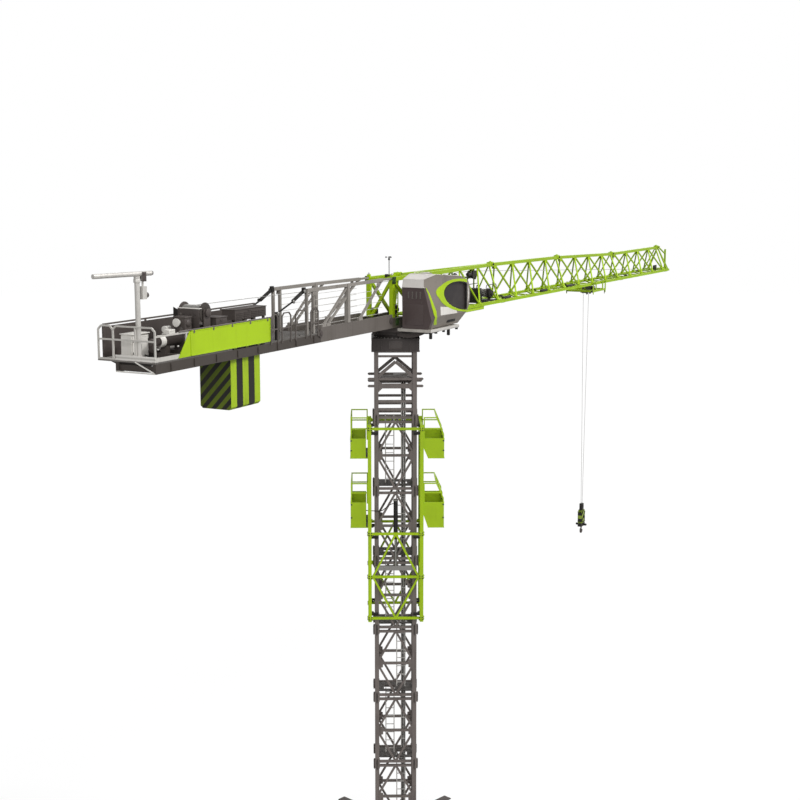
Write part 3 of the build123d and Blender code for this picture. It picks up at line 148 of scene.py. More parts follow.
def linear(red: int, green: int, blue: int) -> tuple[float, ...]:
    """A linear colour with its alpha, from screen values of 0 to 255."""
    parts = [value / 255 for value in (red, green, blue)]
    return (*[p / 12.92 if p <= 0.04045 else ((p + 0.055) / 1.055) ** 2.4 for p in parts], 1.0)


def shaded(colour: Sequence[float], share: float) -> tuple[float, ...]:
    """A linear colour darkened to a share."""
    return (*[part * share for part in colour[:3]], 1.0)


class Graph:
    """Short ways to add and join the nodes of one tree."""

    def __init__(self, tree: bpy.types.NodeTree) -> None:
        """Starts on an empty tree."""
        self.tree = tree
        tree.nodes.clear()

    def add(self, kind: str, inputs: dict[object, object] | None = None, **values: object) -> bpy.types.Node:
        """Adds a node.

        Args:
            kind: The node's type, without its ShaderNode prefix where it has one.
            inputs: Values or links for its sockets, by name or number.
            values: Settings of the node, by name.

        Returns:
            The new node.
        """
        node = self.tree.nodes.new(kind if kind.startswith("Node") else "ShaderNode" + kind)
        for key, value in values.items():
            setattr(node, key, value)
        for key, value in (inputs or {}).items():
            self.plug(node.inputs[key], value)
        return node

    def plug(self, socket: Socket, value: object) -> None:
        """Gives a socket a value or a link."""
        if isinstance(value, bpy.types.NodeSocket):
            self.tree.links.new(value, socket)
        else:
            socket.default_value = value

    def math(self, operation: str, *values: object) -> Socket:
        """One step of arithmetic on values or sockets."""
        return self.add("Math", dict(enumerate(values)), operation=operation).outputs[0]

    def mix(self, mask: object, first: object, second: object) -> Socket:
        """Blends two colours by a mask."""
        return self.add("Mix", {0: mask, 6: first, 7: second}, data_type="RGBA").outputs[2]

    def choose(self, mask: object, first: object, second: object) -> Socket:
        """Blends two numbers by a mask."""
        return self.add("Mix", {0: mask, 2: first, 3: second}, data_type="FLOAT").outputs[0]

    def noise(self, place: object, scale: float, detail: float) -> Socket:
        """A cloudy value over a place."""
        return self.add("TexNoise", {"Vector": place, "Scale": scale, "Detail": detail}).outputs[0]

    def step(self, value: object, low: float, high: float) -> Socket:
        """A value eased from 0 at low to 1 at high."""
        inputs = dict(enumerate((value, low, high, 0.0, 1.0)))
        return self.add("MapRange", inputs, interpolation_type="SMOOTHSTEP").outputs[0]

    def place(self, scale: Point = (1, 1, 1)) -> Socket:
        """The object's own coordinates, scaled."""
        spot = self.add("TexCoord").outputs["Object"]
        return self.add("Mapping", {0: spot, "Scale": scale}).outputs[0]

    def parts(self, vector: object) -> list[Socket]:
        """The three parts of a vector."""
        return list(self.add("SeparateXYZ", {0: vector}).outputs)

    def normal(self) -> list[Socket]:
        """The three parts of the way that a face looks."""
        return self.parts(self.add("TexCoord").outputs["Normal"])

    def group(self, tree: bpy.types.NodeTree, inputs: dict[str, object] | None = None) -> object:
        """The outputs of a shader group with its values."""
        return self.add("Group", inputs, node_tree=tree).outputs


class Effects:
    """The shader groups that the finishes share, each built once."""

    def __init__(self) -> None:
        """Builds every group."""
        self.weather = self._weather()
        self.stripes = self._stripes()
        self.grid = self._grid()

    @staticmethod
    def _group(name: str, inputs: dict[str, float], outputs: Iterable[str]) -> tuple:
        """Opens a group with value sockets.

        Args:
            name: The group's name.
            inputs: Its inputs with their first values.
            outputs: The names of its outputs.

        Returns:
            The tree, its nodes, what it is given and what it gives out.
        """
        tree = bpy.data.node_groups.new(name, "ShaderNodeTree")
        for key, value in inputs.items():
            socket = tree.interface.new_socket(key, in_out="INPUT", socket_type="NodeSocketFloat")
            socket.default_value = value
        for key in outputs:
            tree.interface.new_socket(key, in_out="OUTPUT", socket_type="NodeSocketFloat")
        graph = Graph(tree)
        return tree, graph, graph.add("NodeGroupInput").outputs, graph.add("NodeGroupOutput").inputs

    def _weather(self) -> bpy.types.NodeTree:
        """Broad grime, runs down the height, small chips and the grain of sprayed paint.

        Returns:
            The group.
        """
        given = {"Grime": 0.25, "Runs": 0.2, "Chips": 0.1}
        tree, g, given, out = self._group("weathered_surface", given, ("Dirt", "Chip", "Gloss", "Grain"))
        broad = g.noise(g.place(), 1.7, 6.0)
        patch = g.step(broad, 0.42, 0.72)
        run = g.step(g.noise(g.place((9, 9, 0.7)), 2.2, 4.0), 0.52, 0.78)
        runs = g.math("MULTIPLY", run, given["Runs"])
        dirt = g.math("ADD", g.math("MULTIPLY", patch, given["Grime"]), runs)
        fine = g.noise(g.place(), 46.0, 5.0)
        g.plug(out["Dirt"], g.math("MINIMUM", dirt, 1.0))
        chips = g.math("ADD", fine, g.math("MULTIPLY", given["Chips"], 0.35))
        g.plug(out["Chip"], g.step(chips, 0.74, 0.77))
        g.plug(out["Gloss"], g.math("MULTIPLY_ADD", broad, 0.22, -0.11))
        g.plug(out["Grain"], g.noise(g.place(), 210.0, 2.0))
        return tree

    def _stripes(self) -> bpy.types.NodeTree:
        """Even slanting stripes along one direction.

        Returns:
            The group.
        """
        given = {"X": 0.0, "Y": 1.0, "Z": 1.0, "Pitch": 0.3, "Shift": 0.0}
        tree, g, given, out = self._group("warning_stripes", given, ("Mask",))
        x, y, z = g.parts(g.place())
        along = g.math("ADD", g.math("MULTIPLY", x, given["X"]), g.math("MULTIPLY", y, given["Y"]))
        along = g.math("ADD", g.math("MULTIPLY_ADD", z, given["Z"], along), given["Shift"])
        wave = g.math("PINGPONG", g.math("DIVIDE", along, given["Pitch"]), 0.5)
        g.plug(out["Mask"], g.step(wave, 0.245, 0.255))
        return tree

    def _grid(self) -> bpy.types.NodeTree:
        """The small raised pattern of a tread plate or grating.

        Returns:
            The group.
        """
        tree, g, given, out = self._group("tread_pattern", {"Pitch": 0.04, "Turn": 0.0}, ("Mask",))
        inputs = {"Vector": g.place(), "Angle": given["Turn"]}
        x, y, _ = g.parts(g.add("VectorRotate", inputs, rotation_type="Z_AXIS").outputs[0])
        waves = [g.math("PINGPONG", g.math("DIVIDE", part, given["Pitch"]), 0.5) for part in (x, y)]
        g.plug(out["Mask"], g.step(g.math("MINIMUM", *waves), 0.06, 0.13))
        return tree


@dataclass(frozen=True)
class Finish:
    """One painted or bare metal finish.

    Attributes:
        name: The material's name.
        colour: Its clean colour, as screen values.
        slot: The record's slot; not used.
        soil: The colour of its grime.
        roughness: How matt it is.
        metallic: 1 for bare metal.
        grime: How much broad dirt it carries.
        runs: How much dirt runs down it.
        grain: The strength of its surface grain.
        coat: The strength of a clear coat.
    """

    CHIPS: ClassVar[float] = 0.1
    CHIP_DEPTH: ClassVar[float] = 0.6
    DULLED_BY_DIRT: ClassVar[float] = 0.2
    GRAIN_HEIGHT: ClassVar[float] = 0.004
    COAT_ROUGHNESS: ClassVar[float] = 0.25
    SHINE: ClassVar[float] = 0.35

    name: str
    colour: tuple[int, int, int]
    slot: Slot
    soil: tuple[int, int, int] = (60, 54, 46)
    roughness: float = 0.45
    metallic: float = 0.0
    grime: float = 0.25
    runs: float = 0.25
    grain: float = 0.12
    coat: float = 0.0

    def colours(self, g: Graph, effects: Effects) -> object:
        """The clean colour, which a livery changes from place to place."""
        return linear(*self.colour)

    def relief(self, g: Graph, effects: Effects, grain: object) -> object:
        """The height that the bump is taken from."""
        return grain

    def surface(self, g: Graph, effects: Effects) -> bpy.types.Node:
        """Adds the shader with its weather.

        Args:
            g: The material's nodes.
            effects: The shared shader groups.

        Returns:
            The shader node.
        """
        weather = g.group(effects.weather, {"Grime": self.grime, "Runs": self.runs, "Chips": self.CHIPS})
        soiled = g.mix(weather["Dirt"], self.colours(g, effects), linear(*self.soil))
        gloss = g.math("ADD", weather["Gloss"], self.roughness)
        height = self.relief(g, effects, weather["Grain"])
        bump = g.add("Bump", {"Strength": self.grain, "Distance": self.GRAIN_HEIGHT, "Height": height})
        chips = g.math("MULTIPLY", weather["Chip"], self.CHIP_DEPTH)
        return g.add("BsdfPrincipled", {
            "Base Color": g.mix(chips, soiled, linear(*self.soil)),
            "Roughness": g.math("MULTIPLY_ADD", weather["Dirt"], self.DULLED_BY_DIRT, gloss),
            "Metallic": self.metallic, "Specular IOR Level": self.SHINE, "Coat Weight": self.coat,
            "Coat Roughness": self.COAT_ROUGHNESS, "Normal": bump.outputs[0]})

    def build(self, effects: Effects) -> bpy.types.Material:
        """Builds the material with the shared shader groups.

        Args:
            effects: The shared shader groups.

        Returns:
            The material.
        """
        material = bpy.data.materials.new(self.name)
        material.use_nodes = True
        g = Graph(material.node_tree)
        g.add("OutputMaterial", {0: self.surface(g, effects).outputs[0]})
        return material


@dataclass(frozen=True)
class Hazard(Finish):
    """Slanting stripes of lime and black.

    Attributes:
        along: The direction that the stripes cross.
        pitch: The distance from stripe to stripe.
        slabs: The distance from one black edge to the next along a stack of slabs, or 0 for a single plate.
    """

    NAMES: ClassVar[tuple[str, ...]] = ("X", "Y", "Z", "Pitch", "Shift")
    SHIFT: ClassVar[float] = 0.05
    SLABS_SHIFT: ClassVar[float] = 5.744
    END_SHADE: ClassVar[float] = 0.32

    along: tuple[float, float, float] = (0.0, -0.72, -0.68)
    pitch: float = 0.15
    slabs: float = 0.0

    def colours(self, g: Graph, effects: Effects) -> object:
        """Black stripes slant over the ends, and every other slab's edge is black; the ends' lime carries
        painted shade.

        Args:
            g: The material's nodes.
            effects: The shared shader groups.

        Returns:
            The colour.
        """
        black, clean = linear(28, 27, 26), linear(*self.colour)
        values = (*self.along, self.pitch, self.SHIFT)
        stripes = g.group(effects.stripes, dict(zip(self.NAMES, values)))[0]
        if not self.slabs:
            return g.mix(stripes, clean, black)
        values = (1.0, 0.0, 0.0, self.slabs, self.SLABS_SHIFT)
        edges = g.group(effects.stripes, dict(zip(self.NAMES, values)))[0]
        ends = g.math("GREATER_THAN", g.math("ABSOLUTE", g.normal()[0]), 0.7)
        # Painted shade: the lime on the slabs' end faces is darkened to END_SHADE.
        paint = g.mix(ends, clean, shaded(clean, self.END_SHADE))
        return g.mix(g.choose(ends, edges, stripes), paint, black)


@dataclass(frozen=True)
class Lattice(Finish):
    """Paint on slender bars, with painted shade on the faces that don't look up."""

    PAINTED_SIDE_SHADE: ClassVar[tuple[int, int, int]] = (130, 160, 6)

    def colours(self, g: Graph, effects: Effects) -> object:
        """The clean colour above and a painted shade at the sides and below."""
        # Painted shade: the bars' sides and undersides are darker than their tops, as if lit from above.
        top_light = g.math("MULTIPLY_ADD", g.normal()[2], 1.6, 0.3)
        return g.mix(top_light, linear(*self.PAINTED_SIDE_SHADE), linear(*self.colour))


@dataclass(frozen=True)
class Tread(Finish):
    """A floor with a small raised pattern and painted shade between its raised lines.

    Attributes:
        turn: How far the pattern is turned.
        pitch: The distance from line to line.
    """

    turn: float = 0.0
    pitch: float = 0.045

    def _pattern(self, g: Graph, effects: Effects) -> Socket:
        """The mask of the raised pattern."""
        return g.group(effects.grid, {"Pitch": self.pitch, "Turn": self.turn})[0]

    def colours(self, g: Graph, effects: Effects) -> object:
        """Painted shade between the raised lines."""
        clean = linear(*self.colour)
        return g.mix(self._pattern(g, effects), clean, shaded(clean, 0.55))

    def relief(self, g: Graph, effects: Effects, grain: object) -> object:
        """The raised lines with the grain over them."""
        return g.math("MULTIPLY_ADD", self._pattern(g, effects), -2.0, grain)


@dataclass(frozen=True)
class Shell(Finish):
    """The cab's warm grey skin, dark behind the corner stripe, with a pale roof and fascia and painted shade
    under it.
    """

    STRIPE_X: ClassVar[float] = -0.55
    STRIPE_LEAN: ClassVar[float] = -0.12
    STRIPE_MIDDLE: ClassVar[float] = BEAM_Z + 0.4

    def colours(self, g: Graph, effects: Effects) -> object:
        """A colour by the way each face looks, its height and the stripe's line.

        Args:
            g: The material's nodes.
            effects: The shared shader groups.

        Returns:
            The colour.
        """
        across, _, up = g.normal()
        x, _, height = g.parts(g.place())
        above = g.math("SUBTRACT", height, self.STRIPE_MIDDLE)
        line = g.math("MULTIPLY_ADD", above, self.STRIPE_LEAN, self.STRIPE_X)
        behind = g.math("MAXIMUM", g.math("LESS_THAN", across, -0.6), g.math("LESS_THAN", x, line))
        high = g.math("GREATER_THAN", height, BEAM_Z + FASCIA)
        fascia = g.math("MULTIPLY", g.math("LESS_THAN", across, -0.5), high)
        pale = g.math("MAXIMUM", fascia, g.math("GREATER_THAN", up, 0.75))
        rear = g.math("MULTIPLY", behind, g.math("SUBTRACT", 1.0, high))
        colour = g.mix(rear, linear(*self.colour), linear(78, 67, 66))
        colour = g.mix(pale, colour, linear(214, 210, 205))
        # Painted shade: faces that look down are darkened as if under the cab.
        return g.mix(g.math("LESS_THAN", up, -0.6), colour, linear(52, 47, 46))


@dataclass(frozen=True)
class Zoned(Finish):
    """One finish with a second colour inside a box.

    Attributes:
        zone_colour: The second colour, as screen values.
        zone_low: The box's lowest corner.
        zone_high: The box's highest corner.
    """

    zone_colour: tuple[int, int, int] = (77, 71, 66)
    zone_low: tuple[float, float, float] = (-99.0, -99.0, -99.0)
    zone_high: tuple[float, float, float] = (99.0, 99.0, 99.0)

    def colours(self, g: Graph, effects: Effects) -> object:
        """The second colour inside the box, the first outside it.

        Args:
            g: The material's nodes.
            effects: The shared shader groups.

        Returns:
            The colour.
        """
        mask = 1.0
        for part, low, high in zip(g.parts(g.place()), self.zone_low, self.zone_high):
            mask = g.math("MULTIPLY", mask, g.math("GREATER_THAN", part, low))
            mask = g.math("MULTIPLY", mask, g.math("LESS_THAN", part, high))
        return g.mix(mask, linear(*self.colour), linear(*self.zone_colour))


@dataclass(frozen=True)
class Wire(Finish):
    """Laid wire rope."""

    def relief(self, g: Graph, effects: Effects, grain: object) -> object:
        """Slanting strands."""
        return g.add("TexWave", {"Scale": 60.0, "Vector": g.place()}, bands_direction="DIAGONAL").outputs[1]


@dataclass(frozen=True)
class Pane(Finish):
    """Dark tinted glass with a faint film of dust."""

    def surface(self, g: Graph, effects: Effects) -> bpy.types.Node:
        """Adds the glass.

        Args:
            g: The material's nodes.
            effects: The shared shader groups.

        Returns:
            The shader node.
        """
        dirt = g.group(effects.weather)["Dirt"]
        return g.add("BsdfPrincipled", {
            "Base Color": g.mix(dirt, linear(*self.colour), linear(96, 90, 84)),
            "Roughness": g.math("MULTIPLY_ADD", dirt, 0.3, self.roughness), "Metallic": 0.0,
            "Specular IOR Level": 0.25, "Transmission Weight": 0.1})


SATIN = {"soil": (96, 104, 16), "roughness": 0.42, "grime": 0.15, "runs": 0.08}
LIME = Finish("lime_paint_satin", (160, 192, 8), Slot.LIME, **SATIN)
LEAF = Finish("deep_green_paint", (44, 70, 24), Slot.LIME, (30, 34, 18), 0.5)
DARK = Finish("dark_grey_paint", (76, 69, 66), Slot.DARK, (44, 40, 37), 0.46)
LATTICE = Lattice("lime_paint_lattice", (168, 202, 10), Slot.LIME, **SATIN)
MAST = Finish("mast_grey_paint", (112, 104, 100), Slot.GREY, (66, 58, 54), grime=0.35, runs=0.35)
PALE = Finish("pale_grey_paint", (138, 133, 127), Slot.GREY, (84, 78, 72))
GREY = Finish("warm_grey_paint", (96, 90, 86), Slot.GREY, (58, 52, 48), 0.42)
BLACK = Finish("black_enamel", (32, 30, 29), Slot.BLACK, (60, 55, 50), 0.4)
RING = Finish("ring_grey_paint", (60, 53, 51), Slot.DARK, (40, 36, 33), 0.5)
WHITE = Finish("white_enamel", (214, 211, 205), Slot.WHITE, (150, 142, 130), 0.35, grime=0.15)
ZINC = Finish("galvanised_steel", (196, 193, 188), Slot.ZINC, (132, 128, 122), 0.42, 0.2)
STEEL = Finish("ground_steel", (176, 174, 170), Slot.STEEL, (84, 74, 62), 0.28, 1.0)
DUSTY = Finish("dusty_cast_iron", (62, 57, 54), Slot.DARK, (96, 86, 74), 0.6, grain=0.4)
RUBBER = Finish("black_rubber", (24, 23, 23), Slot.BLACK, (58, 54, 50), 0.7, grain=0.3)
STRIPED = Hazard("lime_black_stripes", (150, 178, 22), Slot.LIME, (62, 60, 40), 0.5, slabs=0.36)
PLATE = Tread("tread_plate", (120, 116, 112), Slot.GREY, (70, 62, 54), 0.5, grain=0.6)
GRATING = Tread("mast_grating", (92, 88, 85), Slot.DARK, roughness=0.55, grain=0.8, turn=1.0647, pitch=0.03)
SHELL = Shell("cab_skin", (122, 115, 107), Slot.GREY, (70, 62, 56), 0.36, coat=0.15, runs=0.1)
HEAD = Zoned("lime_paint_dark_beams", (160, 192, 8), Slot.LIME, **SATIN, zone_low=(-9.0, -9.0, 0.0),
             zone_high=(0.44, 9.0, BEAM_Z + 0.202))
FRAME = Zoned("counter_jib_paint", (98, 92, 87), Slot.GREY, roughness=0.42, zone_colour=(66, 60, 56),
              zone_high=(-3.7, 99.0, 99.0))
RAILS = Zoned("railing_zinc", (190, 187, 181), Slot.ZINC, roughness=0.42, metallic=0.1, grime=0.1,
              zone_colour=(96, 90, 85), zone_low=(-5.4, -99.0, 0.0))
FLOOR_FRAME = Zoned("pale_floor_black_feet", (176, 171, 164), Slot.GREY, zone_colour=(30, 28, 27),
                    zone_high=(9.0, 9.0, BEAM_Z - 0.08))
BLOCK = Zoned("hook_block_paint", (112, 132, 38), Slot.LIME, zone_colour=(62, 58, 55),
              zone_high=(99.0, 99.0, BEAM_Z + HOOK_TOP - 0.57))
BLOCK_STRIPES = Hazard("hook_block_stripes", (138, 158, 62), Slot.LIME, (62, 60, 40), 0.5,
                       along=(0.72, 0.0, -0.68), pitch=0.13)
ROPE = Wire("laid_wire_rope", (168, 166, 162), Slot.ROPE, (90, 84, 76), 0.4, 0.6, grain=0.8)
GLASS = Pane("tinted_glass", (42, 37, 38), Slot.GLASS, roughness=0.3)


def at(point: Point, turn: float = 0.0) -> Matrix:
    """The place of a copy: turned about Z, then moved."""
    return Matrix.Translation(Vector(point)) @ Matrix.Rotation(turn, 4, "Z")


def facing(origin: Point, axis: Point) -> Matrix:
    """The place of a copy whose Z runs along an axis."""
    turn = Vector(UP).rotation_difference(Vector(axis))
    return Matrix.Translation(Vector(origin)) @ turn.to_matrix().to_4x4()


def outward(x: float, y: float, z: float) -> list[Matrix]:
    """The places on both sides of the crane's middle, with Z away from it."""
    return [facing((x, side * y, z), (0, side, 0)) for side in SIDES]


def turned_about(x: float, y: float, z: float) -> list[Matrix]:
    """The places on the near side, as it is, and on the far side, turned half round."""
    return [at((x, -y, z)), at((x, y, z), math.pi)]


class Paints:
    """The materials, each built the first time it is asked for."""

    def __init__(self) -> None:
        """Starts with the finishes not yet built."""
        self.effects = Effects()
        self.built: dict[str, bpy.types.Material] = {}

    def material(self, finish: Finish) -> bpy.types.Material:
        """The material of a finish."""
        if finish.name not in self.built:
            self.built[finish.name] = finish.build(self.effects)
        return self.built[finish.name]


@dataclass
class Workbench:
    """Edit-mode modelling as by hand, with finished pieces put into the frame.

    Attributes:
        paints: The shared materials.
        body: The body that its pieces ride on, unless they name another.
        frame: The axes that its pieces are measured in.
    """

    SMOOTH: ClassVar[float] = math.radians(35)
    THINNEST: ClassVar[float] = 0.001
    MOST_EASED: ClassVar[float] = 0.3
    LARGE_FACE: ClassVar[float] = 0.3
    PANEL_LIP: ClassVar[float] = 0.15
    PANEL_DEPTH: ClassVar[float] = 0.004
    body: ClassVar[Body] = Body.SLEWING
    frame: ClassVar[Matrix] = BEAM_AXES

    paints: Paints

    @staticmethod
    def face(count: int, radius: float = 1, height: float = 0) -> Object:
        """A flat round face with a count of corners.

        Args:
            count: How many corners it has.
            radius: Its radius.
            height: Its height over 0.

        Returns:
            The face.
        """
        bpy.ops.object.select_all(action="DESELECT")
        bpy.ops.mesh.primitive_circle_add(vertices=count, radius=radius, fill_type="NGON",
                                          location=(0, 0, height))
        bpy.ops.object.transform_apply(location=True)
        return bpy.context.object

    @staticmethod
    def edit(*steps: Callable[[], object]) -> None:
        """Takes steps in edit mode, each with everything selected, and leaves the faces looking outward.

        Args:
            steps: What is done, in order.
        """
        bpy.ops.object.mode_set(mode="EDIT")
        for step in steps:
            bpy.ops.mesh.select_all(action="SELECT")
            step()
        bpy.ops.mesh.select_all(action="SELECT")
        bpy.ops.mesh.normals_make_consistent(inside=False)
        bpy.ops.object.mode_set(mode="OBJECT")

    @staticmethod
    def pull(way: Point) -> None:
        """Extrudes what is selected."""
        bpy.ops.mesh.extrude_region_move(TRANSFORM_OT_translate={"value": tuple(way)})

    @staticmethod
    def bevel(width: float, segments: int = 1) -> None:
        """Eases the selected edges."""
        if width:
            bpy.ops.mesh.bevel(offset=width, segments=segments, affect="EDGES")

    def box(self, low: Point, high: Point, bevel: float = 0.004, panel: float = 0.0) -> Object:
        """A box between two corners, with eased edges and, if asked, its large faces set in as panels.

        Args:
            low: Its lowest corner.
            high: Its highest corner.
            bevel: How far its edges are eased.
            panel: The width of the frame left around each large face.

        Returns:
            The box.
        """
        bpy.ops.object.select_all(action="DESELECT")
        size = [max(abs(h - l), self.THINNEST) for l, h in zip(low, high)]
        bpy.ops.mesh.primitive_cube_add(size=1, location=[(l + h) / 2 for l, h in zip(low, high)])
        piece = bpy.context.object
        piece.scale = size
        bpy.ops.object.transform_apply(location=True, rotation=True, scale=True)
        self.edit(lambda: self.bevel(min(bevel, min(size) * self.MOST_EASED), 2))
        if panel:
            large = self.LARGE_FACE * max(face.area for face in piece.data.polygons)
            for part in (piece.data.vertices, piece.data.edges):
                part.foreach_set("select", [False] * len(part))
            piece.data.polygons.foreach_set("select", [face.area > large for face in piece.data.polygons])
            bpy.ops.object.mode_set(mode="EDIT")
            lip = panel * self.PANEL_LIP
            for width, depth in ((panel, 0), (lip, -min(lip, self.PANEL_DEPTH))):
                bpy.ops.mesh.inset(thickness=width, depth=depth, use_individual=True)
            bpy.ops.object.mode_set(mode="OBJECT")
        return piece

    def turned(self, rings: Sequence[Point], sides: int = 16, origin: Point = ORIGIN,
               axis: Point = UP) -> Object:
        """A round piece, drawn from ring to ring along an axis.

        Args:
            rings: The radius and the height of each ring, from the bottom up.
            sides: How many corners a ring has.
            origin: Where height 0 is.
            axis: The way its height runs.

        Returns:
            The closed piece.
        """
        def draw() -> None:
            """Pulls the face up and sizes it, ring by ring."""
            for (before, low), (after, high) in zip(rings, rings[1:]):
                self.pull((0, 0, high - low))
                share = after / before
                bpy.ops.transform.resize(value=(share, share, 1), center_override=(0, 0, high))

        piece = self.face(sides, *rings[0])
        self.edit(draw)
        piece.data.transform(facing(origin, axis))
        return piece

    def bar(self, start: Point, end: Point, width: float, depth: float) -> Object:
        """A straight bar with eased edges between two points.

        Args:
            start: The middle of its first end.
            end: The middle of its second end.
            width: Its size across, level where it can be.
            depth: Its other size across.

        Returns:
            The bar.
        """
        line = Vector(end) - Vector(start)
        piece = self.box((-width / 2, -depth / 2, 0), (width / 2, depth / 2, line.length), 0.003)
        side = Vector(UP).cross(line)
        side = side.normalized() if side.length > 1e-4 else Vector(ALONG)
        up = line.normalized()
        frame = Matrix((side, up.cross(side), up)).transposed().to_4x4()
        piece.data.transform(Matrix.Translation(Vector(start)) @ frame)
        return piece

    def plate(self, outline: Sequence[Point], depth: Point, bevel: float = 0.002) -> Object:
        """A flat plate: a circle with its corners moved onto an outline, pulled out to its thickness.

        Args:
            outline: The corners of one face.
            depth: The way and the distance to the other face.
            bevel: How far its edges are eased.

        Returns:
            The plate.
        """
        piece = self.face(len(outline))
        for corner, point in zip(piece.data.vertices, outline):
            corner.co = point
        self.edit(lambda: self.pull(depth))
        self.edit(lambda: self.bevel(bevel))
        return piece

    @staticmethod
    def tube(points: Sequence[Point], radius: float, sides: int = 2) -> Object:
        """A round bar or pipe, straight from point to point.

        Args:
            points: Its line.
            radius: Its radius.
            sides: How finely it is rounded.

        Returns:
            The tube.
        """
        bpy.ops.object.select_all(action="DESELECT")
        bpy.ops.curve.primitive_nurbs_path_add()
        curve = bpy.context.object.data
        curve.splines.clear()
        line = curve.splines.new("POLY")
        line.points.add(len(points) - 1)
        for spot, point in zip(line.points, points):
            spot.co = (*point, 1)
        curve.dimensions = "3D"
        curve.bevel_depth = radius
        curve.bevel_resolution = sides
        curve.use_fill_caps = True
        bpy.ops.object.convert(target="MESH")
        return bpy.context.object

    def rail(self, points: Sequence[Point], radius: float, corner: float, closed: bool = False) -> Object:
        """A bent pipe: straight runs with their corners rounded by two cuts each.

        Args:
            points: Its line, with sharp corners.
            radius: Its radius.
            corner: How far before a corner the pipe turns.
            closed: Whether its end meets its start.

        Returns:
            The pipe.
        """
        ends = [Vector(point) for point in points]
        spots = [] if closed else [ends[0]]
        for index in range(len(ends)) if closed else range(1, len(ends) - 1):
            here = ends[index]
            back = (ends[index - 1] - here).normalized() * corner
            ahead = (ends[(index + 1) % len(ends)] - here).normalized() * corner
            spots += [here + back, here + (back + ahead) * 0.29, here + ahead]
        spots.append(spots[0] if closed else ends[-1])
        return self.tube(spots, radius)

    def bolts(self, radius: float, spots: Iterable[Point], axis: Point = UP) -> Object:
        """Hexagon heads on their washers, one over each spot and along one axis.

        Args:
            radius: The head's radius.
            spots: Where the washers lie.
            axis: The way the heads look.

        Returns:
            The bolts as one piece.
        """
        head = self.turned([(radius, 0.002), (radius, radius * 0.9), (radius * 0.8, radius)], 6)
        washer = self.turned([(radius * 1.3, 0), (radius * 1.3, 0.002)], 12)
        return self.repeat(self.join(head, washer), [facing(spot, axis) for spot in spots])

    def repeat(self, model: Object, places: Iterable[Matrix | Point]) -> Object:
        """Copies a model to each place or point, each copy with its own mesh, and joins them.

        Args:
            model: The piece to copy, which is then removed.
            places: Where the copies go.

        Returns:
            The copies as one piece.
        """
        copies: list[Object] = []
        for place in places:
            copy = model.copy()
            copy.data = model.data.copy()
            copy.data.transform(place if isinstance(place, Matrix) else at(place))
            bpy.context.scene.collection.objects.link(copy)
            copies.append(copy)
        bpy.data.objects.remove(model)
        return self.join(copies)

    @staticmethod
    def join(*pieces: Object | Sequence[Object]) -> Object:
        """Makes one piece of several, given singly or in lists.

        Args:
            pieces: The pieces or lists.

        Returns:
            The joined piece.
        """
        single = [piece for group in pieces for piece in (group if isinstance(group, list) else [group])]
        bpy.ops.object.select_all(action="DESELECT")
        for piece in single:
            piece.select_set(True)
        bpy.context.view_layer.objects.active = single[0]
        if len(single) > 1:
            bpy.ops.object.join()
        return bpy.context.view_layer.objects.active

    def dress(self, finish: Finish, *pieces: Object | Sequence[Object]) -> Object:
        """Joins pieces and gives them one finish.

        Args:
            finish: Their finish.
            pieces: The pieces or lists.

        Returns:
            The joined piece.
        """
        piece = self.join(*pieces)
        piece.data.materials.clear()
        piece.data.materials.append(self.paints.material(finish))
        return piece

    def mount(self, name: str, finish: Finish | None, *pieces: Object | Sequence[Object],
              body: Body | None = None) -> Object:
        """Joins pieces, names, finishes and smooths them, and lets them ride on a body.

        Args:
            name: The new piece's own name.
            finish: Its finish, or None where its parts have theirs.
            pieces: Its parts, measured in this workbench's axes.
            body: The body it moves with, unless that is the workbench's own.

        Returns:
            The finished piece.
        """
        piece = self.complete(name, finish, *pieces)
        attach(piece, (body or self.body).value)
        return piece

    def complete(self, name: str, finish: Finish | None, *pieces: Object | Sequence[Object]) -> Object:
        """Joins, names, finishes and smooths pieces, which don't ride on a body yet.

        Args:
            name: The new piece's own name.
            finish: Its finish, or None where its parts have theirs.
            pieces: Its parts, measured in this workbench's axes.

        Returns:
            The piece.
        """
        piece = self.dress(finish, *pieces) if finish else self.join(*pieces)
        bpy.ops.object.transform_apply(location=True, rotation=True, scale=True)
        piece.data.transform(self.frame)
        bpy.ops.object.shade_smooth_by_angle(angle=self.SMOOTH)
        piece.name = name
        piece.data.name = name
        LOG.info("%s: %d faces", name, len(piece.data.polygons))
        return piece

    def build(self) -> None:
        """Builds and mounts every piece of the sub-assembly."""
        raise NotImplementedError


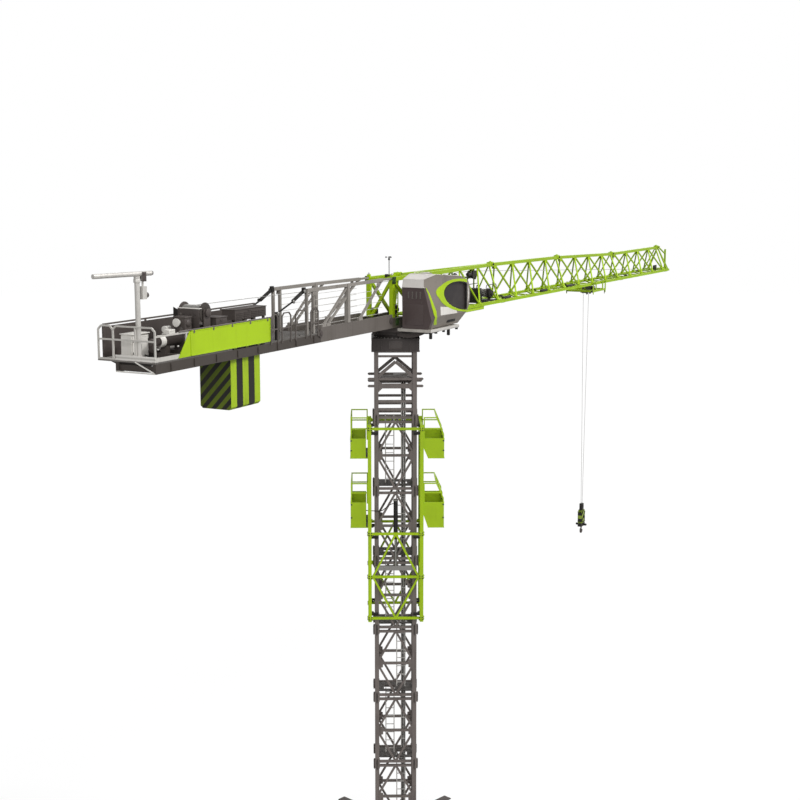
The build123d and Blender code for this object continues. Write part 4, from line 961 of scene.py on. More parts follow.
@dataclass
class Mast(Workbench):
    """The fittings of the fixed lattice mast, its base and the slewing support.

    Attributes:
        boss: The radius of the sleeves' bolt bosses.
        gusset: The reach of the gussets at the bracing's corners.
        ring_bolts: How many bolts hold the slewing ring.
        teeth: How many teeth the slewing ring has.
    """

    body: ClassVar[Body] = Body.ROOT
    frame: ClassVar[Matrix] = MAST_AXES

    boss: float = 0.016
    gusset: float = 0.085
    ring_bolts: int = 36
    teeth: int = 96

    def build(self) -> None:
        """Builds the mast's fittings."""
        self.joints()
        self.gussets()
        self.cable_tray()
        self.ring()
        self.support_details()
        self.base()

    def joints(self) -> None:
        """Bolt bosses over each pair of sleeves, with the bolt's head above and its nut below."""
        r = self.boss
        boss = self.turned([(r, -0.085), (r, -0.004), (r * 0.9, 0), (r, 0.004), (r, 0.085)], 10)
        shank = self.turned([(0.007, -0.125), (0.007, 0.12)], 8)
        heads = [self.turned([(0.015, z), (0.015, z + 0.014), (0.012, z + 0.018)], 6)
                 for z in (0.085, -0.103)]
        side = LEG_CENTRE + SLEEVE_HALF + r / 2
        pairs = ((side, LEG_CENTRE), (LEG_CENTRE, side))
        spots = [(x * a, y * b) for x in SIDES for y in SIDES for a, b in pairs]
        places = [(x, y, MAST_FOOT + level * SECTION) for level in range(1, SECTIONS + 1) for x, y in spots]
        self.mount("mast_joint_bolts", DUSTY, self.repeat(self.join(boss, shank, heads), places))

    def gussets(self) -> None:
        """A bolted plate at each corner of the mast's bracing."""
        reach = self.gusset
        back, front = -reach, reach * 0.2
        outline = [(back, 0, -reach), (front, 0, -reach * 1.3), (front, 0, reach * 1.3), (back, 0, reach)]
        bolts = self.bolts(0.008, [(back * 0.6, 0.008, z * reach * 0.5) for z in SIDES], FAR)
        x, y = LEG_CENTRE - LEG_HALF, LEG_CENTRE + 0.0215
        flip = Matrix.Rotation(math.pi, 4, "Y")
        places = []
        for level, side in product(range(SECTIONS), QUARTERS):
            z = MAST_FOOT + (level + 0.5) * SECTION
            places += [side @ at((x, y, z)), side @ at((-x, y, z)) @ flip]
        model = self.join(self.plate(outline, (0, 0.008, 0)), bolts)
        self.mount("mast_gussets", MAST, self.repeat(model, places))

    def cable_tray(self) -> None:
        """A tray with two power cables clipped into it, inside one corner of the mast."""
        x, y = 0.18, LEG_CENTRE - 0.07
        low, high = MAST_FOOT + 0.1, MAST_TOP + 0.7
        tray = [self.box((x - 0.05, y, low), (x + 0.05, y + 0.006, high), 0.001)]
        for edge in (x - 0.05, x + 0.05):
            tray.append(self.box((edge - 0.002, y - 0.02, low), (edge + 0.002, y + 0.006, high), 0))
        cables = [self.tube([(x + a, y - 0.012, low), (x + a, y - 0.012, high)], 0.009)
                  for a in (-0.02, 0.02)]
        clip = self.box((x - 0.045, y - 0.026, -0.008), (x + 0.045, y, 0.008), 0.003)
        clips = self.repeat(clip, [(0, 0, low + 0.2 + k * 0.5) for k in range(int((high - low) / 0.5))])
        self.mount("mast_cable_tray", None, self.dress(ZINC, tray, clips), self.dress(RUBBER, cables))

    def ring(self) -> None:
        """The toothed slewing ring with its bolts, which don't turn with the mast's axes."""
        straight = self.frame.inverted()
        tooth = self.box((0.436, -0.0075, RING_TOP - 0.048), (0.453, 0.0075, RING_TOP - 0.012), 0.003)
        turns = [Matrix.Rotation(2 * math.pi * k / self.teeth, 4, "Z") for k in range(self.teeth)]
        self.mount("slewing_ring_teeth", DUSTY, self.repeat(tooth, [straight @ turn for turn in turns]))
        angles = [2 * math.pi * k / self.ring_bolts for k in range(self.ring_bolts)]
        bolts = self.bolts(0.011, [(0.472 * math.cos(a), 0.472 * math.sin(a), RING_TOP - 0.055)
                                   for a in angles])
        self.mount("slewing_ring_bolts", ZINC, self.repeat(bolts, [straight]))

    def support_details(self) -> None:
        """Stiffeners and bolted covers on the box under the slewing ring, and its lugs' bolts."""
        low, high, half = RING_TOP - 0.34, RING_TOP - 0.055, 0.495
        side = half - 0.001
        pieces = [self.box((-half, side, a), (half, half + 0.012, b), 0.003)
                  for a, b in ((low, low + 0.022), (high - 0.02, high))]
        pieces += [self.box((x - 0.006, side, low + 0.02), (x + 0.006, half + 0.01, high - 0.02), 0.002)
                   for x in (-0.3, 0.3)]
        pieces.append(self.box((-0.14, side, low + 0.06), (0.14, half + 0.006, high - 0.06), 0.002,
                               panel=0.02))
        spots = product((-0.125, 0.125), (half + 0.006,), (low + 0.075, high - 0.075))
        pieces.append(self.bolts(0.007, spots, FAR))
        self.mount("support_box_stiffeners", DARK, self.repeat(self.join(pieces), QUARTERS))
        spots = product((0.57,), (-LEG_CENTRE, LEG_CENTRE), (MAST_TOP + 0.72, MAST_TOP + 0.87))
        self.mount("support_lug_bolts", BLACK, self.repeat(self.bolts(0.016, spots, ALONG), QUARTERS[::2]))

    def base(self) -> None:
        """Gussets and anchor bolts at the ends of the base beams."""
        outline = ((1.52, 0.025), (1.72, 0.025), (1.72, 0.06), (1.56, 0.2), (1.52, 0.2))
        gussets = [self.plate([(x, s * 0.11, z) for x, z in outline], (0, s * 0.01, 0)) for s in SIDES]
        bolts = self.bolts(0.016, [(x, s * y, 0.025) for x, y in ((1.66, 0.13), (1.85, 0.11))
                                   for s in SIDES])
        places = [side @ at(ORIGIN, math.radians(45)) for side in QUARTERS]
        self.mount("base_foot_gussets", DUSTY, self.repeat(self.join(gussets, bolts), places))


@dataclass
class Cab(Workbench):
    """The driver's cab: its trim, window frames, plate, vents, lamps and the frame under it.

    Attributes:
        rise: How far trim stands off the skin.
        ring: Centre, radii and tilt of the ring's outer edge, seen from the side.
        opening: The same of its inner edge.
        front: Where ring and window end at the front.
    """

    rise: float = 0.006
    ring: tuple[float, ...] = (0.854, 0.587, 1.252, 0.346, -6.2)
    opening: tuple[float, ...] = (0.80, 0.583, 0.93, 0.296, -8.0)
    front: float = 1.04

    def build(self) -> None:
        """Builds the cab's fittings."""
        self.trim()
        self.frames()
        self.rear()
        self.roof()
        self.under()
        self.seat()

    @staticmethod
    def skin_y(x: float, z: float) -> float:
        """How far across the near skin lies at a place along and above the beams."""
        corner = CAB_NEAR - 0.51257 * (x + 0.64) + 0.2409 * z
        return max(CAB_NEAR, corner, CAB_NEAR + 0.44 * (0.23 - z))

    @staticmethod
    def arc(oval: Sequence[float], front: float, count: int = 120) -> list[tuple[float, float]]:
        """The rear part of a slanted oval, from its upper front end round to its lower one.

        Args:
            oval: Its middle, half length, half height and tilt in degrees.
            front: Where it is cut off along the beams.
            count: How many points the whole oval has.

        Returns:
            The points of its line.
        """
        x0, z0, long, tall, tilt = oval
        cos, sin = math.cos(math.radians(tilt)), math.sin(math.radians(tilt))
        points = []
        for k in range(count):
            angle = 2 * math.pi * k / count + math.radians(20)
            u, v = long * math.cos(angle), tall * math.sin(angle)
            points.append((x0 + u * cos - v * sin, z0 + u * sin + v * cos))
        return [point for point in points if point[0] <= front][::2]

    def skin(self, outline: Sequence[tuple[float, float]], rise: float) -> Object:
        """A trim piece laid over the near side, the slanted rear corner and the lower chamfer.

        Args:
            outline: Its corners along and above the beams.
            rise: How far it stands off.

        Returns:
            The closed trim piece.
        """
        def crease() -> None:
            """Cuts the flat face where the skin folds."""
            for spot, normal in (((-0.64, 0, 0), (1, 0, -0.47)), ((0, 0, 0.23), UP),
                                 ((-0.64, 0, 0.1486), (-0.51257, 0, 0.6809))):
                bpy.ops.mesh.select_all(action="SELECT")
                bpy.ops.mesh.bisect(plane_co=spot, plane_no=normal)

        piece = self.face(len(outline))
        for corner, (x, z) in zip(piece.data.vertices, outline):
            corner.co = (x, CAB_NEAR, z)
        self.edit(crease)
        for corner in piece.data.vertices:
            corner.co.y = self.skin_y(corner.co.x, corner.co.z) + 0.002
        self.edit(lambda: self.pull((-rise * 0.3, -rise - 0.002, 0)))
        return piece

    def trim(self) -> None:
        """The lime ring behind the window, the stripe down the corner and the bare white plate."""
        ring = self.arc(self.ring, self.front) + self.arc(self.opening, self.front)[::-1]
        self.mount("cab_window_ring", LIME, self.skin(ring, self.rise))
        left = [(-0.601, 0.83), (-0.572, 0.70), (-0.557, 0.56), (-0.55, 0.42), (-0.54, 0.27), (-0.505, 0.17),
                (-0.44, 0.06)]
        right = [(-0.30, 0.06), (-0.40, 0.17), (-0.452, 0.27), (-0.487, 0.42), (-0.51, 0.56), (-0.537, 0.70),
                 (-0.585, 0.83)]
        self.mount("cab_corner_stripe", LIME, self.skin(left + right, self.rise))
        plate = [(-0.278, 0.43), (0.44, 0.36), (0.53, 0.235), (-0.262, 0.25)]
        self.mount("cab_bare_plate", WHITE, self.skin(plate, self.rise * 0.7))

    def frames(self) -> None:
        """Rubber seals around the side window and the windscreen, a wiper and a painted glint in front."""
        outer = self.arc((0.75, 0.585, 0.87, 0.295, -8.0), 0.995)
        inner = self.arc((0.75, 0.585, 0.845, 0.272, -8.0), 0.975)
        post = self.box((0.985, CAB_NEAR - 0.003, 0.3), (1.01, CAB_NEAR + 0.03, FASCIA))
        self.mount("cab_window_seal", RUBBER, self.skin(outer + inner[::-1], 0.004), post)
        ends = (-1.14, -0.56)
        curve = ((1.028, 0.3), (1.118, 0.45), (1.123, 0.65), (1.07, 0.85))
        bars = [self.rail([(x, y, z) for x, z in curve], 0.011, 0.03) for y in ends]
        bars += [self.tube([(x, y, z) for y in ends], 0.011) for x, z in (curve[0], curve[-1])]
        wiper = self.rail([(1.06, -0.85, 0.3), (1.15, -0.8, 0.5), (1.14, -0.74, 0.68)], 0.006, 0.05)
        blade = self.bar((1.15, -0.76, 0.46), (1.12, -0.72, 0.76), 0.006, 0.02)
        self.mount("cab_windscreen_frame", RUBBER, bars, wiper, blade)
        # Painted highlight: a white sliver on the front edge stands for the windscreen's glint.
        edge = [(1.035, 0.42), (1.085, 0.5), (1.098, 0.6), (1.075, 0.72), (1.045, 0.78), (1.052, 0.7),
                (1.062, 0.6), (1.055, 0.5)]
        self.mount("cab_front_painted_glint", WHITE, self.skin(edge, self.rise))

    def rear(self) -> None:
        """Louvred vents, a lip and a panel with its catches on the back of the cab."""
        vents = (-0.652, -0.742, -0.832, -0.922)
        frames = self.repeat(self.box((-0.645, -0.021, 0.6), (-0.63, 0.021, 0.755)),
                             [(0, y, 0) for y in vents])
        slat = self.box((-0.651, -0.014, 0), (-0.638, 0.014, 0.006), 0.002)
        slats = self.repeat(slat, product((0,), vents, [0.612 + 0.018 * k for k in range(8)]))
        self.mount("cab_rear_vents", None, self.dress(DARK, frames), self.dress(PALE, slats))
        lip = self.box((-0.655, -1.035, 0.822), (-0.632, -0.5, 0.838))
        panel = self.box((-0.632, -0.98, 0.06), (-0.622, -0.56, 0.54), 0.003)
        catches = self.bolts(0.008, product((-0.634,), (-0.96, -0.58), (0.09, 0.3, 0.51)), BACK)
        self.mount("cab_rear_panel", SHELL, lip, panel, catches)

    def roof(self) -> None:
        """A seam cap, a lamp, an air intake and a hand rail on the roof."""
        cap = self.plate([(-0.31, -0.52, 1.087), (-0.31, -0.86, 1.087), (0.68, -1.16, 1.004),
                          (0.68, -0.52, 1.004)], (0, 0, 0.012), 0.004)
        intake = self.box((-0.12, -0.78, 1.06), (0.18, -0.6, 1.085), 0.008, panel=0.02)
        self.mount("cab_roof_cap", None, self.dress(WHITE, cap), self.dress(PALE, intake))
        lamp = self.turned([(0.02, 0), (0.045, 0.03), (0.052, 0.06), (0.048, 0.066)], 16, (0.78, -1.0, 1.02),
                           (0.85, 0, -0.4))
        stem = self.tube([(0.8, -1.0, 0.95), (0.79, -1.0, 1.01)], 0.01)
        self.mount("cab_work_lamp", BLACK, lamp, stem)
        rail = [(x, -0.56, z) for x, z in ((-0.2, 1.07), (-0.2, 1.12), (0.5, 1.07), (0.5, 1.0))]
        self.mount("cab_roof_rail", ZINC, self.rail(rail, 0.008, 0.03))

    def under(self) -> None:
        """A kick strip, rubber mounts and foot pads between the cab and its frame."""
        top, near = -0.02, -1.17
        strip = self.box((-0.66, near - 0.008, top - 0.058), (0.68, near + 0.002, top - 0.004), 0.003)
        self.mount("cab_frame_strip", ZINC, strip)
        buffer = self.turned([(0.03, 0), (0.034, 0.01), (0.026, 0.02), (0.034, 0.03), (0.03, 0.04)], 14)
        spots = [(x, near + 0.03, top - 0.1) for x in (-0.36, 0.0, 0.62)]
        self.mount("cab_rubber_mounts", RUBBER, self.repeat(buffer, spots))
        pad = self.turned([(0.026, 0), (0.034, 0.015), (0.034, 0.05), (0.03, 0.055)], 14)
        spots = [(x, near + 0.03, top - 0.19) for x in (-0.6, 0.23)]
        self.mount("cab_foot_pads", RUBBER, self.repeat(pad, spots))

    def seat(self) -> None:
        """The driver's seat and two consoles, seen dimly through the glass."""
        y, floor = -0.85, 0.06
        chair = [self.box((x0, y - half, floor + low), (x1, y + half, floor + high), ease)
                 for x0, x1, half, low, high, ease in (
                     (0.1, 0.4, 0.12, 0, 0.2, 0.02), (0.05, 0.5, 0.16, 0.2, 0.28, 0.03),
                     (0.0, 0.09, 0.15, 0.26, 0.72, 0.03))]
        for side in (y - 0.25, y + 0.25):
            chair.append(self.box((0.15, side - 0.05, floor), (0.55, side + 0.05, floor + 0.36), 0.02))
            chair.append(self.tube([(0.48, side, floor + 0.36), (0.47, side, floor + 0.45)], 0.012))
        self.mount("cab_seat_and_consoles", RUBBER, chair)


@dataclass
class Cage(Workbench):
    """The climbing cage's rollers, bolts, platform floors and hydraulics.

    Attributes:
        levels: The heights of its four rings of rails.
        platforms: The heights of its platforms and of their panels.
        sides: The side, the reach and the splay of each platform.
    """

    FACE: ClassVar[float] = 0.59
    body: ClassVar[Body] = Body.CAGE
    frame: ClassVar[Matrix] = BEAM_AXES @ MAST_AXES

    levels: tuple[float, ...] = (-2.165, -4.431, -5.375, -6.29)
    platforms: tuple[tuple[float, ...], ...] = ((-2.8, 0.43), (-4.3, 0.555))
    sides: tuple[tuple[float, ...], ...] = ((-1, 0.36, 0.0), (1, 0.43, 0.095))

    def build(self) -> None:
        """Builds the cage's fittings."""
        self.rollers()
        self.corner_bolts()
        self.floors()
        self.rail_feet()
        self.hydraulics()

    def rollers(self) -> None:
        """Guide rollers with their brackets, which run on the mast's legs."""
        wheel = self.turned([(0.015, -0.02), (0.021, -0.016), (0.022, 0), (0.021, 0.016), (0.015, 0.02)], 14,
                            (0.488, LEG_CENTRE, 0), FAR)
        bracket = [self.box((0.476, y - 0.003, -0.02), (0.55, y + 0.003, 0.02), 0.003)
                   for y in (LEG_CENTRE - 0.027, LEG_CENTRE + 0.027)]
        bracket.append(self.box((0.51, LEG_CENTRE - 0.03, -0.035), (0.522, 0.552, 0.035), 0.003))
        model = self.join(self.dress(STEEL, wheel), self.dress(BLACK, bracket))
        levels = (self.levels[0] - 0.1, self.levels[1] - 0.08, self.levels[3] + 0.08)
        rollers = self.repeat(model, [side @ at((0, 0, z)) @ mirror for z in levels for side in QUARTERS
                                      for mirror in (Matrix(), Matrix.Diagonal((1, -1, 1, 1)))])
        self.edit()
        self.mount("cage_guide_rollers", None, rollers)

    def corner_bolts(self) -> None:
        """Dark flange bolts where rails meet the cage's posts."""
        plate = self.box((-0.05, 0.5895, -0.045), (0.05, 0.597, 0.045), 0.003)
        bolts = self.bolts(0.011, product((-0.028, 0.028), (0.597,), (-0.024, 0.024)), FAR)
        model = self.join(self.dress(LIME, plate), self.dress(BLACK, bolts))
        x = CAGE_CENTRE - 0.012
        places = [side @ at((a, 0, z)) for z in self.levels for side in QUARTERS for a in (-x, x)]
        self.mount("cage_corner_plates", None, self.repeat(model, places))

    def floors(self) -> None:
        """Tread floors, kick edges and stiffened panels of the four platforms."""
        floors, edges = [], []
        for (level, panel), (side, reach, splay) in product(self.platforms, self.sides):
            outer = self.FACE + reach - 0.014
            low, high = sorted((side * (0.594 + splay), side * outer))
            floors.append(self.box((low, -0.535, level + 0.0195), (high, 0.535, level + 0.026), 0.002))
            x = side * (outer + 0.0135)
            rib = self.box((x, -0.012, level + 0.02), (x + side * 0.007, 0.012, level + panel - 0.03), 0.002)
            edges.append(self.repeat(rib, [(0, -0.48 + k * 0.24, 0) for k in range(5)]))
            x = side * (outer + 0.012)
            edges += [self.box((x, -0.552, z - 0.01), (x + side * 0.012, 0.552, z + 0.012), 0.003)
                      for z in (level + 0.008, level + panel - 0.02)]
        self.mount("platform_floors_and_ribs", None, self.dress(GRATING, floors), self.dress(LIME, edges))

    def rail_feet(self) -> None:
        """Clamps on the rail posts of each platform."""
        clamp = self.box((-0.018, -0.018, -0.014), (0.018, 0.018, 0.014))
        spots = [(side * (self.FACE + reach - 0.012), y, z) for level, panel in self.platforms
                 for side, reach, _ in self.sides for y in (-0.54, 0.0, 0.54)
                 for z in (level + panel * 0.4, level + panel - 0.05)]
        self.mount("platform_post_clamps", LEAF, self.repeat(clamp, spots))

    def hydraulics(self) -> None:
        """The pump unit on a platform, the ram's end cap and the rigid pipe between them."""
        level = self.platforms[1][0] + 0.026
        x, y, ram, top = -0.74, -0.3, -CAGE_CENTRE + 0.075, -3.7
        tank = self.box((x - 0.1, y - 0.14, level), (x + 0.1, y + 0.14, level + 0.2), 0.012, panel=0.02)
        motor = self.turned([(0.05, 0), (0.06, 0.01), (0.06, 0.13), (0.045, 0.14), (0.02, 0.16)], 16,
                            (x, y - 0.04, level + 0.2))
        valve = self.box((x - 0.05, y + 0.04, level + 0.2), (x + 0.05, y + 0.12, level + 0.27), 0.006)
        cap = self.turned([(0.046, -0.03), (0.052, -0.025), (0.052, 0.004), (0.03, 0.012)], 16,
                          (0, ram, top))
        route = ((x, y + 0.08, level + 0.26), (x, y + 0.08, level + 0.34), (-0.62, -0.5, level + 0.34),
                 (-0.3, -0.56, level + 0.34), (-0.1, ram - 0.03, top - 0.09), (-0.03, ram, top - 0.09))
        pipe = self.rail(route, 0.009, 0.04)
        self.mount("climb_pump_and_pipe", None, self.dress(DARK, tank), self.dress(BLACK, motor),
                   self.dress(STEEL, valve, cap), self.dress(RUBBER, pipe))


@dataclass
class TowerHead(Workbench):
    """The turntable, the slewing drive and the head frame that carries jib and counter-jib."""

    def build(self) -> None:
        """Builds the head's fittings."""
        self.drive()
        self.table_rim()
        self.post_plates()
        self.ladder()
        self.wind_mast()

    def drive(self) -> None:
        """Two upright slewing motors with their gearboxes, fins and terminal boxes."""
        rings = [(0.05, -0.2), (0.05, -0.118), (0.085, -0.112), (0.085, 0.0), (0.105, 0.004), (0.105, 0.02),
                 (0.07, 0.026), (0.07, 0.16), (0.058, 0.165), (0.058, 0.18), (0.072, 0.185), (0.072, 0.34),
                 (0.06, 0.36), (0.02, 0.368)]
        fin = self.box((0.068, -0.003, 0.19), (0.082, 0.003, 0.335), 0)
        fins = self.repeat(fin, [at(ORIGIN, k * math.pi / 9) for k in range(18)])
        box = self.box((-0.03, 0.07, 0.22), (0.03, 0.11, 0.29), 0.006)
        model = self.join(self.dress(DARK, self.turned(rings, 20)), self.dress(BLACK, fins, box))
        places = [at((-0.44, 0.26, 0)), at((0.44, 0.26, 0), math.pi)]
        self.mount("slewing_motors", None, self.repeat(model, places))

    def table_rim(self) -> None:
        """Stiffeners along the turntable's edges and bolts on its top."""
        low, high, edge = -0.11, -0.004, 0.395
        rib = self.box((-0.006, edge, low), (0.006, edge + 0.014, high), 0.002)
        ribs = self.repeat(rib, [at((x, 0, 0), turn) for x, turn in
                                 ((-0.2, 0), (0.1, 0), (-0.1, math.pi), (0.2, math.pi))])
        rear = self.box((-0.632, -0.38, low + 0.01), (-0.618, 0.38, high - 0.006), 0.003, panel=0.02)
        bolts = self.bolts(0.012, product((-0.3, -0.1, 0.1, 0.3), (-0.31, 0.31), (0,)))
        self.mount("turntable_stiffeners", DARK, ribs, rear, bolts)

    def post_plates(self) -> None:
        """Bolted plates at the feet and heads of the four posts, and knobs on the rear ones."""
        top = JIB_TOPS[0]
        plate = self.box((-0.075, -0.006, -0.075), (0.075, 0.006, 0.075))
        bolts = self.bolts(0.012, product((-0.045, 0.045), (-0.006,), (-0.045, 0.045)), NEAR)
        model = self.join(self.dress(LEAF, plate), self.dress(BLACK, bolts))
        places = []
        for x, y, z in ((-0.65, 0.320, top - 0.02), (0.476, 0.380, CHORD + 0.06), (-0.65, 0.402, 0.12),
                        (-0.2, 0.402, 0.12)):
            places += turned_about(x, y, z)
        self.mount("head_bolted_plates", None, self.repeat(model, places))
        knob = self.turned([(0.02, 0), (0.024, 0.004), (0.024, 0.018), (0.014, 0.022), (0.014, 0.034),
                            (0.008, 0.038)])
        spots = [(-0.65, s * 0.27, top + 0.086) for s in SIDES]
        self.mount("head_post_caps", ZINC, self.repeat(knob, spots))

    def ladder(self) -> None:
        """The short ladder inside the head frame and a hand rail by it."""
        low, high, x = 0.12, JIB_TOPS[0] - 0.05, -0.18
        rails = [self.tube([(x, y, low), (x, y, high)], 0.012) for y in (-0.16, 0.02)]
        rung = self.tube([(x, -0.16, 0), (x, 0.02, 0)], 0.008)
        rungs = self.repeat(rung, [(0, 0, low + 0.08 + 0.12 * k) for k in range(6)])
        hoop = ((-0.22, low), (-0.22, high - 0.2), (0.1, high - 0.2), (0.1, low))
        bar = self.rail([(x + 0.25, y, z) for y, z in hoop], 0.01, 0.05)
        self.mount("head_ladder", LIME, rails, rungs, bar)

    def wind_mast(self) -> None:
        """The clamp, the head's collar and the cable box of the wind sensor."""
        z = JIB_TOPS[0] + 0.025
        clamp = self.turned([(0.02, 0), (0.024, 0.004), (0.024, 0.03), (0.014, 0.036)], 14, (-0.27, 0, z))
        head = self.turned([(0.012, 0), (0.02, 0.006), (0.02, 0.04), (0.011, 0.05)], 14,
                           (-0.27, 0, z + 0.34))
        box = self.box((-0.3, 0.03, z - 0.02), (-0.24, 0.09, z + 0.05), 0.006)
        self.mount("wind_sensor_mount", BLACK, clamp, head, box)


@dataclass
class Jib(Workbench):
    """The jib's joints, gussets, rope fittings, trolley winch and tip.

    Attributes:
        lug: The radius of the joints' eye plates.
    """

    END: ClassVar[float] = HEAD_FRONT + 4 * JIB_SECTION

    lug: float = 0.062

    def build(self) -> None:
        """Builds the jib's fittings."""
        self.joint_eyes()
        self.gussets()
        self.chord_lamps()
        self.rope_rollers()
        self.top_pulley()
        self.winch()
        self.platform()
        self.tip()
        self.cable_run()

    @staticmethod
    def top_height(x: float) -> float:
        """The height of the top chord's middle at a place along the jib."""
        share = (x - HEAD_FRONT) / JIB_SECTION
        n = max(0, min(3, int(share)))
        return JIB_TOPS[n] + (JIB_TOPS[n + 1] - JIB_TOPS[n]) * min(1.0, share - n)

    def joint_eyes(self) -> None:
        """Round eye plates with collared pins at every joint of the chords."""
        r = self.lug
        eye = self.turned([(r * 0.94, 0), (r, 0.003), (r, 0.011), (r * 0.94, 0.014)], 24)
        collar = self.turned([(0.03, 0.013), (0.03, 0.02), (0.024, 0.024)])
        nut = self.turned([(0.019, 0.02), (0.019, 0.036), (0.015, 0.04)], 6)
        model = self.join(self.dress(LIME, eye), self.dress(BLACK, collar, nut))
        lugs, places = [], []
        for n in range(5):
            x = HEAD_FRONT + n * JIB_SECTION
            top = self.top_height(x) + 0.012
            for y in (0.0,) if n else (-0.205, 0.205):
                places += [facing((x, y + side * 0.04, top), (0, side, 0)) for side in SIDES]
            if n:
                lugs.append((x - 0.04, 0.0, top))
            for s in SIDES:
                places.append(facing((x, s * (JIB_HALF - 0.034), CHORD), (0, -s, 0)))
                places.append(at((x, s * JIB_HALF, CHORD + 0.034)) @ Matrix.Scale(0.5, 4))
        self.mount("jib_joint_eyes", None, self.repeat(model, places))
        lug = self.box((-0.045, -0.012, 0.045), (0.045, 0.012, 0.078), 0.011)
        self.mount("jib_lifting_lugs", LIME, self.repeat(lug, lugs))

    def gussets(self) -> None:
        """Plates where the bracing meets the chords."""
        plate = self.plate([(-0.05, 0, 0.03), (0.05, 0, 0.03), (0.03, 0, 0.066), (-0.03, 0, 0.066)],
                           (0, 0.008, 0))
        nodes = [HEAD_FRONT + k * BAY for k in range(16)]
        places = [(x + 0.83, y, CHORD) for x in nodes for y in (-JIB_HALF - 0.026, JIB_HALF + 0.018)]
        self.mount("jib_low_gussets", LIME, self.repeat(plate, places))
        plate = self.plate([(-0.09, 0, -0.035), (-0.055, 0, -0.11), (0.055, 0, -0.11), (0.09, 0, -0.035)],
                           (0, 0.007, 0))
        places = [(x + 0.2, y, self.top_height(x + 0.2)) for x in nodes[4:] for y in (-0.034, 0.027)]
        self.mount("jib_top_gussets", LIME, self.repeat(plate, places))

    def chord_lamps(self) -> None:
        """Flat black lamps on the near bottom chord."""
        lamp = self.box((-0.2, -0.03, 0.034), (0.2, 0.03, 0.098), 0.022)
        spots = [(x, -JIB_HALF, CHORD) for x in (5.1, 7.52, 9.36)]
        self.mount("jib_chord_lamps", BLACK, self.repeat(lamp, spots))

    def rope_rollers(self) -> None:
        """Small guide rollers that keep the ropes off the cross bars."""
        roller = self.turned([(0.02, -0.07), (0.026, -0.06), (0.018, -0.045), (0.018, 0.045), (0.026, 0.06),
                              (0.02, 0.07)], 14, (0, 0, 0.038), FAR)
        cheeks = [self.box((-0.018, y - 0.004, 0.012), (0.018, y + 0.004, 0.058)) for y in (-0.08, 0.08)]
        model = self.join(self.dress(BLACK, roller), self.dress(DARK, cheeks))
        spots = [(HEAD_FRONT + 0.83 + k * BAY, 0.13, CHORD) for k in range(2, 16, 2)]
        self.mount("jib_rope_rollers", None, self.repeat(model, spots))

    def top_pulley(self) -> None:
        """The grooved pulleys under the top chords with their guard, motor and arm."""
        x, z = 3.8, JIB_TOPS[0] - 0.175
        rings = [(0.03, -0.03), (0.078, -0.026), (0.096, -0.02), (0.083, -0.006), (0.083, 0.006),
                 (0.096, 0.02), (0.078, 0.026), (0.03, 0.03)]
        wheels = [self.turned(rings, 28, (x, y, z), FAR) for y in (-0.048, 0.048)]
        outline = ((-0.12, -0.02), (-0.07, -0.11), (0.07, -0.11), (0.13, -0.02), (0.1, 0.1), (-0.08, 0.1))
        guard = self.plate([(x + a, -0.09, z + b) for a, b in outline], (0, 0.008, 0))
        motor = self.turned([(0.035, 0), (0.045, 0.01), (0.045, 0.16), (0.03, 0.17)], 16,
                            (x - 0.32, -0.05, z + 0.02), ALONG)
        arm = self.box((x - 0.3, -0.03, z - 0.06), (x + 0.16, 0.03, z - 0.03), 0.006)
        self.mount("jib_top_pulley", BLACK, wheels, guard, motor, arm)

    def winch(self) -> None:
        """The trolley winch: rope on its drum, a finned motor, a brake, a gearbox and cables."""
        z, x, axis = CHORD + 0.017, 4.44, 0.34
        rings = [(0.088, -0.005), (0.096, -0.003), (0.0975, 0), (0.096, 0.003), (0.088, 0.005)]
        turn = self.turned(rings, 26, (x, -0.115, axis), FAR)
        rope = self.repeat(turn, [(0, 0.0105 * k, 0) for k in range(23)])
        self.mount("trolley_drum_rope", ROPE, rope, body=Body.TROLLEY_DRUM)
        fin = self.turned([(0.07, -0.003), (0.082, -0.002), (0.082, 0.002), (0.07, 0.003)], 24,
                          (3.98, 0, z + 0.15), ALONG)
        pieces = [self.repeat(fin, [(0.02 * k, 0, 0) for k in range(12)])]
        for rings, sides, origin, way in (
                ([(0.075, 0), (0.08, 0.02), (0.06, 0.05), (0.02, 0.055)], 20, (3.86, 0, z + 0.15), BACK),
                ([(0.07, 0), (0.09, 0.01), (0.09, 0.04), (0.05, 0.06)], 20, (x, 0.18, axis), FAR),
                ([(0.1, 0), (0.12, 0.01), (0.12, 0.05), (0.07, 0.06), (0.06, 0.09)], 8,
                 (x, -0.18, axis), NEAR)):
            pieces.append(self.turned(rings, sides, origin, way))
        pieces.append(self.box((3.78, -0.2, z + 0.33), (3.96, 0.16, z + 0.345), 0.005))
        pieces.append(self.box((3.782, -0.2, z + 0.03), (3.94, -0.185, z + 0.31), panel=0.015))
        pieces.append(self.rail([(3.9, -0.1, z + 0.3), (3.9, -0.1, z + 0.42), (4.15, -0.05, z + 0.36),
                                 (4.2, -0.02, z + 0.22)], 0.012, 0.05))
        hoop = ((x - 0.3, z + 0.03), (x - 0.3, z + 0.4), (x + 0.28, z + 0.4), (x + 0.28, z + 0.03))
        pieces += [self.rail([(a, y, b) for a, b in hoop], 0.009, 0.05) for y in (-0.235, 0.235)]
        self.mount("trolley_winch_fittings", BLACK, pieces)

